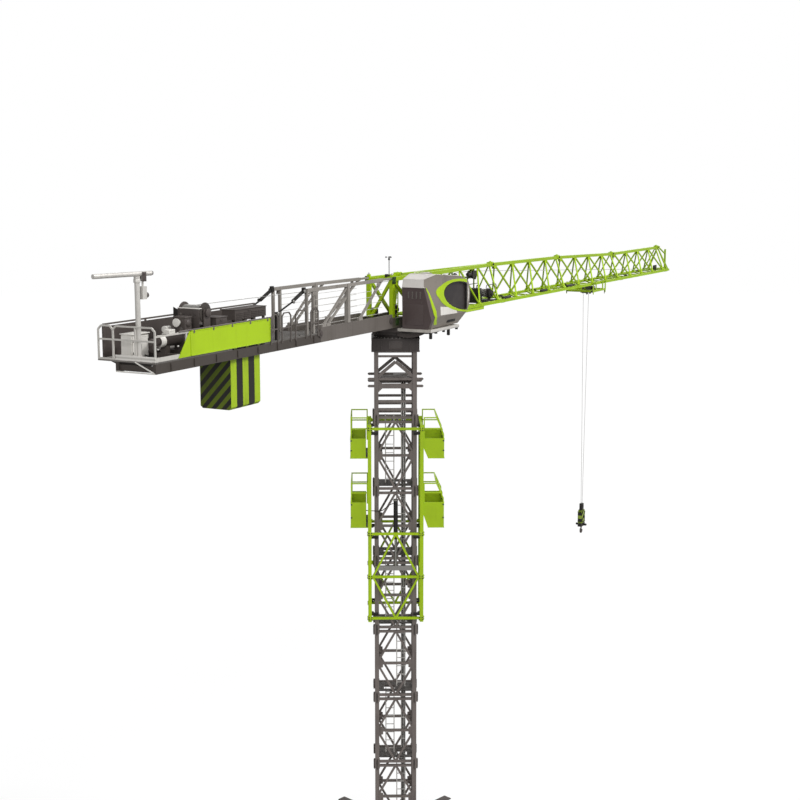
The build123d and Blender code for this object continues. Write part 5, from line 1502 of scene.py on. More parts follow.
    def platform(self) -> None:
        """Grating, kick edges and hangers of the platform under the jib's root."""
        x0, x1, top = 1.25, 3.72, CHORD - 0.0335
        grate = self.box((x0 + 0.07, -0.295, top - 0.062), (x1 - 0.07, 0.295, top - 0.055), 0.001)
        joist = self.box((-0.012, -0.295, top - 0.055), (0.012, 0.295, top - 0.03), 0.003)
        joists = self.repeat(joist, [(x, 0, 0) for x in (1.6, 2.0, 2.4, 2.8, 3.2)])
        edges = [self.box((x0, y - 0.005, top - 0.07), (x1, y + 0.005, top - 0.004), 0.003, panel=0.01)
                 for y in (-0.368, 0.368)]
        hanger = self.box((-0.02, -0.375, top - 0.01), (0.02, -0.362, top + 0.06), 0.003)
        hangers = self.repeat(hanger, [at((x, 0, 0), turn) for x in (1.4, 2.0, 2.6, 3.2, 3.6)
                                       for turn in (0, math.pi)])
        self.mount("root_platform_fittings", None, self.dress(GRATING, grate), self.dress(LEAF, joists),
                   self.dress(LIME, edges, hangers))

    def tip(self) -> None:
        """Sheaves, the rope's end fitting, a buffer and an eye at the tip."""
        rings = [(0.02, -0.014), (0.05, -0.012), (0.06, -0.01), (0.052, 0), (0.06, 0.01), (0.05, 0.012),
                 (0.02, 0.014)]
        x = self.END
        sheaves = [self.turned(rings, 22, (x - back, -0.1, CHORD + 0.12), FAR) for back in (0.55, 0.38)]
        cheek = self.box((x - 0.62, -0.125, CHORD + 0.02), (x - 0.32, -0.118, CHORD + 0.18))
        outline = ((-0.26, 0.03), (-0.02, 0.03), (-0.02, 0.09), (-0.2, 0.12))
        wedge = self.plate([(x + a, -0.02, CHORD + b) for a, b in outline], (0, 0.04, 0), 0.005)
        buffer = self.turned([(0.03, 0), (0.034, 0.02), (0.028, 0.06), (0.034, 0.07), (0.02, 0.08)], 16,
                             (x + 0.3, 0.0, CHORD), BACK)
        eye = self.rail([(x + 0.95, 0, CHORD + 0.02), (x + 0.955, 0, CHORD - 0.02)], 0.012, 0.01)
        self.mount("jib_tip_sheaves", BLACK, sheaves, cheek, wedge, buffer, eye)

    def cable_run(self) -> None:
        """A conduit clipped along the near bottom chord with junction boxes."""
        y, z = -JIB_HALF + 0.048, CHORD + 0.028
        pipe = self.tube([(0.7, y, z), (self.END - 0.2, y, z)], 0.009)
        clip = self.box((-0.012, y - 0.014, z - 0.014), (0.012, y + 0.014, z + 0.014), 0.003)
        clips = self.repeat(clip, [(0.9 + 0.55 * k, 0, 0) for k in range(31)])
        box = self.box((-0.05, y - 0.03, z - 0.01), (0.05, y + 0.03, z + 0.055), 0.008)
        boxes = self.repeat(box, [(HEAD_FRONT + n * JIB_SECTION + 0.5, 0, 0) for n in range(4)])
        self.mount("jib_conduit", None, self.dress(RUBBER, pipe), self.dress(ZINC, clips),
                   self.dress(BLACK, boxes))


@dataclass
class Hoisting(Workbench):
    """The trolley, the hook block and the hook, measured from the trolley's middle."""

    frame: ClassVar[Matrix] = BEAM_AXES @ Matrix.Translation((TROLLEY_X, 0, 0))

    def build(self) -> None:
        """Builds the fittings of trolley and hook."""
        self.trolley()
        self.sheaves()
        self.falls()
        self.block()
        self.hook()

    def trolley(self) -> None:
        """Wheel rims, buffers, a service floor with its kick edge and a rope clamp on the trolley."""
        low = CHORD - 0.233
        rim = self.turned([(0.02, 0), (0.024, 0.004), (0.014, 0.008)])
        hubs = self.repeat(rim, [place for x in (-0.49, 0.49) for place in outward(x, 0.401, CHORD + 0.009)])
        buffer = self.turned([(0.022, 0), (0.026, 0.012), (0.02, 0.03), (0.012, 0.034)], 14)
        places = [facing((s * 0.525, y, low + 0.025), (s, 0, 0)) for s in SIDES for y in (-0.37, 0.37)]
        self.mount("trolley_buffers", BLACK, hubs, self.repeat(buffer, places), body=Body.TROLLEY)
        floor = self.box((-0.49, -0.36, low - 0.012), (-0.2, -0.12, low - 0.001), 0.002)
        kick = self.box((-0.49, -0.364, low - 0.012), (-0.2, -0.36, low + 0.05), 0.002)
        self.mount("trolley_service_floor", GRATING, floor, kick, body=Body.TROLLEY)
        latch = self.box((0.28, -0.1, low + 0.002), (0.45, 0.1, low + 0.11), 0.008, panel=0.015)
        roller = self.turned([(0.028, -0.12), (0.034, -0.11), (0.028, -0.1), (0.028, 0.1), (0.034, 0.11),
                              (0.028, 0.12)], 16, (0.23, 0, low + 0.07), FAR)
        drop = self.box((0.455, -0.39, low - 0.1), (0.475, -0.375, low))
        self.mount("trolley_rope_clamp", BLACK, latch, roller, drop, body=Body.TROLLEY)

    def sheaves(self) -> None:
        """Grooved rims and hub caps of the trolley's two sheaves, and their guards."""
        hub = self.turned([(0.02, -0.076), (0.03, -0.074), (0.045, -0.068), (0.045, -0.0665)], 20,
                          ORIGIN, FAR)
        ring = self.turned([(0.084, -0.066), (0.094, -0.062), (0.088, -0.03), (0.0855, 0), (0.088, 0.03),
                            (0.094, 0.062), (0.084, 0.066)], 28, ORIGIN, FAR)
        outline = ((-0.12, -0.02), (-0.06, -0.12), (0.06, -0.12), (0.12, -0.02), (0.12, 0.14), (-0.12, 0.14))
        guard = self.plate([(x, -0.082, z) for x, z in outline], (0, 0.007, 0))
        model = self.join(self.dress(PALE, hub), self.dress(DUSTY, ring), self.dress(BLACK, guard))
        places = [(x, 0, CHORD - 0.208) for x in (-0.125, 0.125)]
        self.mount("trolley_sheave_rims", None, self.repeat(model, places), body=Body.TROLLEY)

    def falls(self) -> None:
        """The hook's taut ropes, fixed between trolley and hook block as they stand, in place of the CAD
        ropes.
        """
        low, high = (corner[2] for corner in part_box("rope_falls"))
        ropes = [self.tube([(s * 0.045, 0, low - BEAM_Z), (s * 0.2153, 0, high - BEAM_Z)], 0.005)
                 for s in SIDES]
        piece = self.complete("rope_lines", ROPE, ropes)
        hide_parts("rope_falls")
        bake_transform(piece)

    def block(self) -> None:
        """Cheek and edge plates with warning stripes, pins and the dark tongue of the hook block."""
        top, low = HOOK_TOP - 0.19, HOOK_TOP - 0.57
        outline = ((-0.1, low + 0.01), (0.1, low + 0.01), (0.118, low + 0.12), (0.118, top - 0.08),
                   (0.07, top + 0.005), (-0.07, top + 0.005), (-0.118, top - 0.08), (-0.118, low + 0.12))
        plates = []
        for s in SIDES:
            plates.append(self.plate([(x, s * 0.059, z) for x, z in outline], (0, s * 0.01, 0), 0.003))
            edge = ((-0.055, low + 0.02), (0.055, low + 0.02), (0.055, top - 0.07), (-0.055, top - 0.07))
            plates.append(self.plate([(s * 0.112, y, z) for y, z in edge], (s * 0.008, 0, 0)))
        cheeks = self.dress(BLOCK_STRIPES, plates)
        self.mount("hook_block_cheeks", None, cheeks, body=Body.BLOCK)
        spots = product((-0.085, 0.085), (0.069,), (low + 0.05, top - 0.06))
        pins = self.repeat(self.bolts(0.014, [ORIGIN]),
                           [place for spot in spots for place in outward(*spot)])
        hub = self.turned([(0.045, 0), (0.045, 0.012), (0.03, 0.02), (0.03, 0.03)], 20)
        hubs = self.repeat(hub, outward(0, 0.068, (top + low) / 2))
        rope_pin = self.turned([(0.02, -0.055), (0.02, 0.055)], 14, (0, 0, HOOK_TOP - 0.06), FAR)
        tongue = self.box((-0.07, -0.045, HOOK_TOP - 0.2), (0.07, 0.045, HOOK_TOP + 0.003), 0.012,
                          panel=0.02)
        cross = self.box((-0.142, -0.06, low - 0.1), (0.142, 0.06, low - 0.001), 0.012, panel=0.015)
        ears = [(0.012, -0.165), (0.03, -0.155), (0.036, -0.08), (0.036, 0.08), (0.03, 0.155),
                (0.012, 0.165)]
        trunnion = self.turned(ears, 16, (0, 0, low - 0.05), FAR)
        self.mount("hook_block_fittings", BLACK, pins, hubs, rope_pin, tongue, cross, trunnion,
                   body=Body.BLOCK)

    def hook(self) -> None:
        """A forged hook of round, tapering section with a spring latch."""
        low, bend, count = HOOK_TOP - 0.67, 0.062, 30
        centre = Vector((0, 0, low - 2.1 * bend))
        step = math.radians(280 / count)

        def draw() -> None:
            """Pulls the shank's end round, wider and then narrower."""
            for k in range(count):
                self.pull(ORIGIN)
                bpy.ops.transform.rotate(value=step, orient_axis="Y", center_override=tuple(centre))
                angle = math.radians(90) + step * (k + 1)
                spot = centre + Vector((math.cos(angle), 0, math.sin(angle))) * bend
                share = 1.012 if k < 16 else 0.955
                bpy.ops.transform.resize(value=(share, share, share), center_override=tuple(spot))

        forged = self.face(14, 0.02)
        start = Matrix.Translation(centre + Vector((0, 0, bend)))
        forged.data.transform(start @ Matrix.Rotation(math.pi / 2, 4, "Y"))
        self.edit(draw)
        nut = self.turned([(0.032, 0), (0.032, 0.02), (0.026, 0.024)], 6, (0, 0, low - 0.024))
        latch = self.bar((0.002, 0, centre.z + bend - 0.02), (0.052, 0, centre.z + 0.012), 0.02, 0.006)
        self.mount("hook_latch_and_nut", STEEL, nut, latch, body=Body.HOOK)
        self.mount("hook_forging", DARK, forged, body=Body.HOOK)


@dataclass
class CounterJib(Workbench):
    """The counter-jib's hoist winch, railings, banner, cabinets, trusses and counterweights."""

    def build(self) -> None:
        """Builds the counter-jib's fittings."""
        self.drum()
        self.motor()
        self.gearbox()
        self.drum_cover()
        self.winch_boxes()
        self.cabinet()
        self.deck_edges()
        self.walkway()
        self.banner()
        self.beams()
        self.trusses()
        self.counterweights()

    def drum(self) -> None:
        """Rope wound on the drum, and its flanges' rims with their bolts."""
        turn = self.turned([(0.105, -0.0065), (0.122, -0.003), (0.124, 0), (0.122, 0.003),
                            (0.105, 0.0065)], 30, (DRUM_X, -0.185, DRUM), FAR)
        rope = self.repeat(turn, [(0, 0.0132 * k, 0) for k in range(29)])
        self.mount("hoist_drum_rope", ROPE, rope, body=Body.DRUM)
        rim = [(0.14, 0), (0.168, 0.004), (0.168, 0.014), (0.14, 0.018), (0.06, 0.02), (0.05, 0.035)]
        flanges = self.repeat(self.turned(rim, 32), outward(DRUM_X, 0.2, DRUM))
        angles = [math.pi / 4 * k for k in range(8)]
        spots = [(DRUM_X + 0.1 * math.cos(a), 0.219, DRUM + 0.1 * math.sin(a)) for a in angles]
        bolts = self.repeat(self.bolts(0.009, [ORIGIN]),
                            [place for spot in spots for place in outward(*spot)])
        self.mount("hoist_drum_flanges", DARK, flanges, bolts, body=Body.DRUM)

    def motor(self) -> None:
        """The finned hoist motor with its white fan hood and terminal box, and the motor beside it."""
        y, z = -0.05, 0.449
        fin = self.turned([(0.078, -0.004), (0.098, -0.0025), (0.098, 0.0025), (0.078, 0.004)], 28,
                          (-7.62, y, z), ALONG)
        fins = self.repeat(fin, [(-0.021 * k, 0, 0) for k in range(20)])
        rings = [(0.086, 0), (0.098, 0.008), (0.098, 0.09), (0.08, 0.115), (0.05, 0.12)]
        hood = self.turned(rings, 28, (-8.05, y, z), BACK)
        flange = self.turned([(0.1, 0), (0.115, 0.006), (0.115, 0.024), (0.09, 0.03)], 28,
                             (-7.59, y, z), BACK)
        box = self.box((-7.95, y - 0.06, z + 0.085), (-7.78, y + 0.06, z + 0.17), 0.01, panel=0.014)
        hoop = ((y - 0.02, z + 0.08), (y - 0.02, z + 0.13), (y + 0.02, z + 0.13), (y + 0.02, z + 0.08))
        eye = self.rail([(-7.72, a, b) for a, b in hoop], 0.007, 0.016)
        self.mount("hoist_motor_cooling", None, self.dress(WHITE, hood, box),
                   self.dress(DARK, fins, flange, eye))
        cap = self.turned([(0.04, 0.12), (0.055, 0.124), (0.055, 0.14), (0.03, 0.146)], 20,
                          (-8.05, y, z), BACK)
        second = self.turned([(0.06, 0), (0.075, 0.01), (0.075, 0.14), (0.05, 0.16)], 20,
                             (-7.95, 0.16, z - 0.05), BACK)
        feet = [self.box((x, 0.1, 0.249), (x + 0.06, 0.22, z - 0.09), 0.006) for x in (-8.0, -8.1)]
        self.mount("hoist_second_motor", DARK, cap, second, feet)

    def gearbox(self) -> None:
        """The lid, bolts, shaft caps and breather of the hoist's gearbox, and the white neck behind it."""
        x0, x1, y0, y1, top = -7.59, -7.41, -0.16, 0.06, 0.789
        pieces = [self.box((x0 - out, y0 - out, low), (x1 + out, y1 + out, high), ease)
                  for out, low, high, ease in ((0.012, top - 0.012, top + 0.014, 0.006),
                                               (0.016, top - 0.25, top - 0.225, 0.004))]
        columns = [x0 + 0.02 + 0.047 * k for k in range(4)]
        pieces.append(self.bolts(0.008, product(columns, (y0 + 0.005, y1 - 0.005), (top + 0.014,))))
        cap = self.turned([(0.055, 0), (0.06, 0.008), (0.045, 0.018), (0.02, 0.024)], 22)
        places = [facing((x0 + 0.09, y0, top - drop), NEAR) for drop in (0.1, 0.36)]
        pieces.append(self.repeat(cap, [*places, facing((x0, y0 + 0.1, top - 0.2), BACK)]))
        rings = [(0.012, 0), (0.012, 0.03), (0.02, 0.034), (0.02, 0.05), (0.01, 0.056)]
        pieces.append(self.turned(rings, 14, (x0 + 0.05, y0 + 0.12, top + 0.014)))
        self.mount("hoist_gearbox_fittings", DARK, pieces)
        bell = [(0.035, 0), (0.045, 0.004), (0.045, 0.03), (0.065, 0.055), (0.07, 0.08), (0.055, 0.084)]
        neck = self.turned(bell, 26, (x0, y0 + 0.12, top - 0.08), BACK)
        ring = self.turned([(0.052, 0), (0.056, 0.006), (0.056, 0.03), (0.04, 0.034)], 22)
        rings = self.repeat(ring, [facing((x0 - 0.14, 0.13, top - drop), BACK) for drop in (0.19, 0.29)])
        stem = self.box((x0 - 0.14, 0.1, top - 0.36), (x0 - 0.02, 0.16, top - 0.14), 0.01)
        self.mount("hoist_neck", WHITE, neck, rings, stem)

    def drum_cover(self) -> None:
        """The bolted cover at the drum's rear, with a pale lid, and the bracket beside it."""
        x, low, high = DRUM_X - 0.185, DRUM - 0.25, DRUM + 0.07
        face = self.box((x - 0.008, -0.23, low), (x + 0.004, 0.205, high))
        bolts = self.bolts(0.012, [(x - 0.008, y, high - 0.09) for y in (-0.15, -0.05, 0.08)], BACK)
        legs = [self.bar((x, y, low), (x, y, 0.249), 0.04, 0.012) for y in (-0.2, 0.17)]
        lid = self.box((x - 0.01, -0.235, high), (x + 0.07, 0.21, high + 0.012))
        outline = ((0.205, high - 0.02), (0.3, high + 0.02), (0.3, low + 0.1), (0.205, low))
        arm = self.plate([(x, y, z) for y, z in outline], (0.01, 0, 0))
        self.mount("drum_rear_cover", None, self.dress(DARK, face, bolts, legs), self.dress(WHITE, lid),
                   self.dress(BLACK, arm))

    def winch_boxes(self) -> None:
        """Louvres, lids and handles on the winch's housings and the resistor box."""
        slat = self.box((-0.1, -0.004, -0.006), (0.1, 0.004, 0.006), 0.002)
        places = [(-6.756, -0.304, 0.33 + 0.04 * k) for k in range(8)]
        places += product((-5.75, -5.52, -5.29, -5.07), (0.306, 0.014), [0.61 + 0.03 * k for k in range(4)])
        lids = [self.box((x0, y0, z0), (x1, y1, z1)) for x0, x1, y0, y1, z0, z1 in
                ((-6.925, -6.588, -0.312, -0.008, 0.729, 0.742),
                 (-6.925, -6.588, 0.018, 0.292, 0.589, 0.602),
                 (-5.912, -4.908, 0.008, 0.312, 0.76, 0.772))]
        handle = self.rail([(0, 0, 0), (0, -0.03, 0), (0.08, -0.03, 0), (0.08, 0, 0)], 0.005, 0.012)
        handles = self.repeat(handle, [(-6.8, -0.3, 0.69), (-5.5, 0.02, 0.735)])
        self.mount("winch_housing_louvres", DARK, self.repeat(slat, places), lids, handles)
        bearing = self.turned([(0.055, 0), (0.07, 0.006), (0.07, 0.03), (0.045, 0.04), (0.02, 0.045)], 24)
        guide = self.box((-6.98, -0.24, DRUM + 0.02), (-6.95, 0.24, DRUM + 0.05))
        self.mount("drum_bearings", DARK, self.repeat(bearing, outward(DRUM_X, 0.257, DRUM)), guide)

    def cabinet(self) -> None:
        """Doors, hinges, a handle, a rain hood and cables of the electrical cabinet."""
        low, high = DECK + 0.02, DECK + 0.385
        white = [self.box((x, 0.188, low), (x + 0.19, 0.201, high - 0.03), panel=0.012)
                 for x in (-8.495, -8.295)]
        white.append(self.box((-8.52, 0.17, high), (-8.08, 0.44, high + 0.014), 0.005))
        white.append(self.box((-8.512, 0.205, low), (-8.499, 0.415, high - 0.02), panel=0.012))
        hinge = self.turned([(0.006, 0), (0.006, 0.04)], 8)
        hinges = self.repeat(hinge, product((-8.49, -8.11), (0.187,), (low + 0.05, low + 0.24)))
        handle = self.box((-8.312, 0.176, low + 0.13), (-8.288, 0.19, low + 0.2))
        loop = ((-8.2, 0.2, low + 0.02), (-8.2, 0.1, low - 0.005), (-7.9, 0.14, low - 0.005),
                (-7.7, 0.14, low - 0.005))
        self.mount("electrical_cabinet_fittings", None, self.dress(WHITE, white),
                   self.dress(BLACK, hinges, handle),
                   self.dress(RUBBER, self.rail(loop, 0.011, 0.04)))

    def deck_edges(self) -> None:
        """Double kick strips and feet of the rear railing, and collars on the near one."""
        x, y, low = -8.684, 0.395, 0.02
        strips = [self.box((x - 0.004, -y, z), (x, y, z + 0.03), 0.001) for z in (DECK, DECK + 0.055)]
        tubes = [self.tube([(x - 0.008, 0.0, low + 0.155), (x - 0.008, -0.36, low)], 0.012),
                 self.tube([(x - 0.004, -0.385, low - 0.012), (x - 0.004, 0.385, low - 0.012)], 0.011)]
        self.mount("rear_kick_strips", WHITE, strips, tubes)
        foot = [self.box((-0.03, -0.03, 0), (0.03, 0.03, 0.008), 0.002), self.bolts(0.008, [ORIGIN])]
        foot.append(self.turned([(0.018, 0.008), (0.018, 0.07), (0.014, 0.075)], 12))
        spots = [(-8.66, y, DECK) for y in (-0.36, -0.12, 0.12, 0.36)]
        self.mount("rear_rail_feet", ZINC, self.repeat(self.join(foot), spots))
        collar = self.turned([(0.012, -0.012), (0.016, -0.008), (0.016, 0.008), (0.012, 0.012)], 12)
        spots = [(-8.6 + 0.52 * k, -0.382, DECK + z) for k in range(5) for z in (0.2, 0.41)]
        self.mount("near_rail_collars", ZINC, self.repeat(collar, spots))

    def walkway(self) -> None:
        """Grating bars and brackets of the walkway on the far side."""
        top = DECK + 0.001
        bar = self.box((-8.6, 0, 0), (-4.25, 0.006, 0.012), 0)
        bars = self.repeat(bar, [(0, 0.42 + 0.045 * k, top) for k in range(7)])
        cross = self.box((-0.004, 0.4, 0), (0.004, 0.74, 0.011), 0)
        crosses = self.repeat(cross, [(-8.58 + 0.16 * k, 0, top) for k in range(27)])
        self.mount("walkway_grating", ZINC, bars, crosses)
        outline = ((0.4, -0.01), (0.72, -0.01), (0.72, -0.04), (0.4, -0.15))
        bracket = self.plate([(-0.01, y, z) for y, z in outline], (0.012, 0, 0))
        spots = [(-8.4 + 0.82 * k, 0, DECK - 0.03) for k in range(6)]
        self.mount("walkway_brackets", DARK, self.repeat(bracket, spots))

    def banner(self) -> None:
        """A folded rim, rivets and clamps on the bare panel, and the rail along its top."""
        low, high, y, x0, x1, rim = 0.195, 0.606, -0.407, -7.78, -5.44, 0.016
        rims = [self.box((a, y - 0.006, c), (b, y, d), 0.002) for a, b, c, d in
                ((x0, x1, high - rim, high), (x0, x1, low, low + rim), (x1 - rim, x1, low, high),
                 (x0, x0 + rim, low, high))]
        rivet = self.turned([(0.006, 0), (0.004, 0.003)], 8)
        spots = product([x0 + 0.06 + 0.17 * k for k in range(14)], (y - 0.006,), (low + 0.008, high - 0.008))
        self.mount("banner_rims", LIME, rims, self.repeat(rivet, [facing(spot, NEAR) for spot in spots]))
        rail = self.tube([(x0 - 0.3, y + 0.006, high + 0.012), (x1 + 0.02, y + 0.006, high + 0.012)], 0.013)
        clamp = self.box((-0.018, y - 0.008, high - 0.045), (0.018, y + 0.02, high + 0.028))
        clamps = self.repeat(clamp, [(x0 + 0.1 + 0.54 * k, 0, 0) for k in range(5)])
        self.mount("banner_top_rail", GREY, rail, clamps)

    def beams(self) -> None:
        """Web stiffeners, pinned joints and lugs along the counter-jib's two long beams."""
        rib = self.box((-0.005, 0.395, 0.018), (0.005, 0.412, 0.145), 0.002)
        places = [at((-8.3 + 0.62 * k, 0, 0), turn) for turn in (0, math.pi) for k in range(8)]
        self.mount("counter_jib_ribs", FRAME, self.repeat(rib, places))
        eye = self.turned([(0.066, 0), (0.07, 0.004), (0.07, 0.014), (0.03, 0.016), (0.03, 0.028),
                           (0.024, 0.03)], 24)
        places = [place for x in (-3.72, -0.92) for place in outward(x, 0.397, 0.16)]
        self.mount("counter_jib_pins", DARK, self.repeat(eye, places))
        loop = self.turned([(0.022, 0), (0.022, 0.02), (0.012, 0.05)], 12)
        self.mount("beam_lugs", DARK, self.repeat(loop, product((-4.4, -3.95), (-0.364, 0.364), (0.163,))))

    def trusses(self) -> None:
        """Gusset plates, pin heads and guard wires on the two side trusses."""
        gusset = self.plate([(-0.07, 0, -0.075), (0.07, 0, -0.075), (0.05, 0, 0.03), (-0.05, 0, 0.03)],
                            (0, 0.006, 0))
        bolts = self.bolts(0.008, product((-0.03, 0.03), (0.0,), (-0.045, 0.0)), NEAR)
        posts = ((-3.92, 0.4), (-2.65, 0.347), (-1.3, 0.306))
        places = [place for x, y in posts for place in turned_about(x, y, 0.97)]
        self.mount("truss_gussets", PALE, self.repeat(self.join(gusset, bolts), places))
        head = self.turned([(0.034, 0), (0.034, 0.016), (0.024, 0.022)], 18)
        places = [place for x, z in ((-4.235, 0.99), (-4.61, 0.83), (-5.13, 0.657))
                  for place in outward(x, 0.372, z)]
        self.mount("pendant_pin_heads", STEEL, self.repeat(head, places))
        wires = [self.tube([(x, side * y, z) for x, y in ((-3.92, 0.364), (-2.65, 0.335), (-1.12, 0.3))],
                           0.0045, 1)
                 for z in (0.33, 0.45, 0.57, 0.69, 0.81) for side in SIDES]
        self.mount("guard_wires", ZINC, wires)

    def counterweights(self) -> None:
        """Lifting eyes and bearing lugs of the five counterweights."""
        slabs = [-5.744 - 0.18 * k for k in range(5)]
        eye = self.rail([(0, -0.05, 0), (0, -0.05, 0.05), (0, 0.05, 0.05), (0, 0.05, 0)], 0.009, 0.03)
        eyes = self.repeat(eye, product(slabs, (-0.17, 0.17), (DECK - 0.045,)))
        lug = self.box((-0.05, -0.02, -0.02), (0.05, 0.02, 0.03), 0.006)
        lugs = self.repeat(lug, product(slabs, (-0.335, 0.335), (DECK - 0.06,)))
        self.mount("counterweight_eyes", DARK, eyes, lugs)


@dataclass
class Davit(Workbench):
    """The service davit's collars and its hoist.

    Attributes:
        top: The height of the post's end.
        turn: The arm's turn at rest, in degrees.
    """

    top: float = 1.479
    turn: float = -13

    def build(self) -> None:
        """Builds the davit's fittings."""
        x, y = -8.6, -0.01
        swivel = self.turned([(0.05, -0.06), (0.056, -0.055), (0.056, -0.01), (0.05, 0)], 22,
                             (x, y, self.top))
        foot = self.turned([(0.09, 0), (0.09, 0.012), (0.055, 0.016), (0.05, 0.08)], 22, (x, y, DECK))
        angles = (0.8, 2.4, 3.9, 5.5)
        bolts = self.bolts(0.009, [(x + 0.072 * math.cos(a), y + 0.072 * math.sin(a), DECK + 0.012)
                                   for a in angles])
        self.mount("davit_post_collars", ZINC, swivel, foot, bolts)
        self.hoist(x, y, self.top + 0.075)

    def hoist(self, x: float, y: float, z: float) -> None:
        """The hoist's trolley cheeks and motor below the arm, and the ring at the arm's end.

        Args:
            x: Where the arm turns, along the beams.
            y: The same, across them.
            z: The height of the arm's middle.
        """
        turn = math.radians(self.turn)
        way = Vector((math.cos(turn), math.sin(turn), 0))
        spot, end = (Vector((x, y, z)) + way * reach for reach in (0.11, 0.3))
        cheek = self.box((-0.04, 0.042, -0.12), (0.04, 0.05, 0.03), 0.006)
        wheel = self.turned([(0.016, 0.045), (0.02, 0.05), (0.016, 0.058)], 12, ORIGIN, FAR)
        cheeks = self.repeat(self.join(cheek, wheel), [at(spot, turn), at(spot, turn + math.pi)])
        hangs = spot - Vector((0.02, 0, 0.34))
        motor = self.turned([(0.03, 0), (0.045, 0.01), (0.045, 0.12), (0.03, 0.13)], 18, hangs, ALONG)
        loop = ((-0.03, -0.02, 0), (-0.03, 0.02, 0), (0, 0.03, 0), (0.03, 0.02, 0), (0.03, -0.02, 0),
                (0, -0.03, 0))
        ring = self.repeat(self.rail(loop, 0.006, 0.01, closed=True), [facing(end, FAR)])
        self.mount("davit_hoist", DARK, cheeks, ring, motor, body=Body.DAVIT)


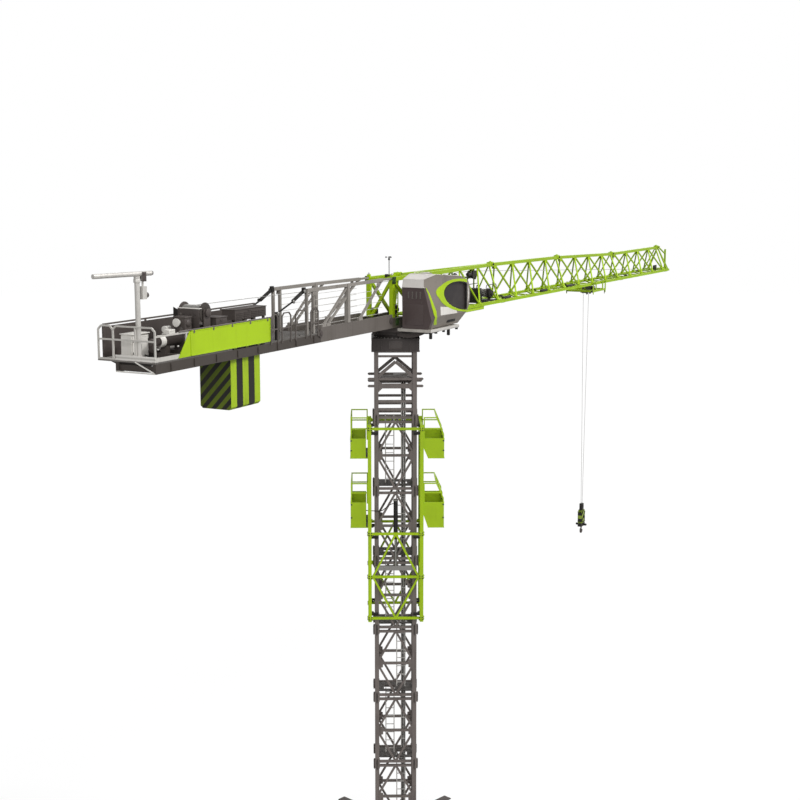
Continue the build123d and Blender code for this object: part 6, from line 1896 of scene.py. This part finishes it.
@dataclass
class Studio:
    """The pale floor, the soft lamps and the camera at the photograph's angle.

    Attributes:
        focal: The lens in pixels of the 800-pixel picture.
        stand: Where the camera stands.
        look: The way it looks.
        lamps: The strength, direction and softness of each sun.
    """

    SENSOR: ClassVar[float] = 36.0

    focal: float = 1393.16
    stand: tuple[float, float, float] = (-25.937, -13.796, 14.596)
    look: tuple[float, float, float] = (0.874, 0.461, -0.156)
    lamps: tuple[tuple, ...] = (("key_sun", 2.3, (-0.3, 0.62, -0.66), 20),
                                ("front_sun", 1.15, (0.82, 0.42, -0.38), 30),
                                ("side_sun", 0.5, (-0.9, -0.1, -0.35), 40))

    def build(self) -> None:
        """Sets the camera, the lamps, the world and the floor."""
        scene = bpy.context.scene
        scene.view_settings.view_transform = "Standard"
        camera = bpy.data.cameras.new("camera")
        camera.sensor_width = self.SENSOR
        camera.lens = self.focal * self.SENSOR / 800
        camera.clip_end = 400.0
        scene.camera = self.aimed("camera", camera, self.look)
        scene.camera.location = self.stand
        for name, strength, direction, softness in self.lamps:
            light = bpy.data.lights.new(name, "SUN")
            light.energy = strength
            light.angle = math.radians(softness)
            self.aimed(name, light, direction)
        self.world(scene)
        self.floor()

    @staticmethod
    def aimed(name: str, data: bpy.types.ID, direction: Point) -> Object:
        """An object that looks or shines along a direction."""
        holder = bpy.data.objects.new(name, data)
        bpy.context.scene.collection.objects.link(holder)
        holder.rotation_euler = Vector(direction).to_track_quat("-Z", "Y").to_euler()
        return holder

    @staticmethod
    def world(scene: bpy.types.Scene) -> None:
        """White to the camera; to surfaces brighter from the near side and from above.

        Args:
            scene: The scene that it lights.
        """
        world = bpy.data.worlds.new("studio")
        scene.world = world
        world.use_nodes = True
        g = Graph(world.node_tree)
        across, depth, up = g.parts(g.add("TexCoord").outputs["Generated"])
        lit = g.math("MULTIPLY_ADD", across, -0.05, g.math("MULTIPLY_ADD", depth, -0.3, 0.42))
        lit = g.math("MAXIMUM", g.math("MULTIPLY_ADD", up, 0.15, lit), 0.06)
        path = g.add("LightPath").outputs
        seen = g.math("MAXIMUM", path["Is Camera Ray"], path["Is Transmission Ray"])
        backdrop = g.add("Background", {"Color": (1, 1, 1, 1), "Strength": g.choose(seen, lit, 1.0)})
        g.add("OutputWorld", {0: backdrop.outputs[0]})

    @staticmethod
    def floor() -> None:
        """A wide pale floor that keeps the crane's shadow."""
        floor = Workbench.face(64, 160, -0.002)
        floor.name = "floor"
        material = bpy.data.materials.new("pale_floor")
        material.use_nodes = True
        g = Graph(material.node_tree)
        camera = g.add("LightPath").outputs["Is Camera Ray"]
        pale = g.mix(g.noise(g.place(), 0.4, 4.0), (0.88, 0.88, 0.88, 1), (0.9, 0.9, 0.9, 1))
        colour = g.mix(camera, (0.32, 0.32, 0.32, 1), pale)
        shader = g.add("BsdfPrincipled", {"Base Color": colour, "Roughness": 0.9})
        glow = g.add("Emission", {"Color": (1, 1, 1, 1)})
        seen = g.math("MULTIPLY", camera, 0.84)
        mixed = g.add("MixShader", {0: seen, 1: shader.outputs[0], 2: glow.outputs[0]})
        g.add("OutputMaterial", {0: mixed.outputs[0]})
        floor.data.materials.append(material)


NODES_BY_FINISH = (
    (LIME, "cage_side_left cage_side_right cage_face_front cage_face_back platform_upper_left "
           "platform_upper_right platform_lower_left platform_lower_right banner_panel root_platform"),
    (DARK, "base_frame turntable far_parapet hoist_winch hook"), (HEAD, "tower_head"),
    (FRAME, "counter_jib_frame"),
    (MAST, "slewing_support mast_section"), (RING, "slewing_ring_box"),
    (LATTICE, "jib_section jib_tip trolley"),
    (GRATING, "mast_landings"), (PLATE, "counter_jib_deck"), (PALE, "counter_truss_near counter_truss_far"),
    (GREY, "walkway_railing"), (RAILS, "rear_railing"), (ZINC, "mast_ladders davit_post davit_arm"),
    (STEEL, "climb_ram_rod"), (BLACK, "climb_ram_barrel pendant_links trolley_winch wind_post wind_cups"),
    (DUSTY, "hoist_drum trolley_drum"), (WHITE, "electrical_cabinet"), (SHELL, "cab_body"),
    (GLASS, "cab_glass"),
    (FLOOR_FRAME, "cab_floor_frame"), (STRIPED, "counterweight"), (BLOCK, "hook_block"),
    (ROPE, "rope_falls hoist_rope"),
)
FINISHES = {name: finish for finish, names in NODES_BY_FINISH for name in names.split()}
PARTS = (Mast, Cab, Cage, TowerHead, Jib, Hoisting, CounterJib, Davit)


def paint_frame(paints: Paints, nodes: dict[str, Object]) -> None:
    """Puts a finish on every CAD node; numbered ones share their family's.

    Args:
        paints: The materials.
        nodes: The CAD nodes by name.
    """
    for name, node in nodes.items():
        finish = FINISHES[name.rstrip("0123456789_")]
        material = paints.material(finish)
        if not node.material_slots:
            node.data.materials.append(material)
        for slot in node.material_slots:
            slot.material = material
        LOG.info("%s: %s", name, finish.name)


def main() -> None:
    """Builds the crane's looks in order."""
    logging.basicConfig(level=logging.INFO, format="%(message)s")
    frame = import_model()
    Studio().build()
    paints = Paints()
    paint_frame(paints, frame["nodes"])
    for part in PARTS:
        part(paints).build()


if __name__ == "__main__":
    main()
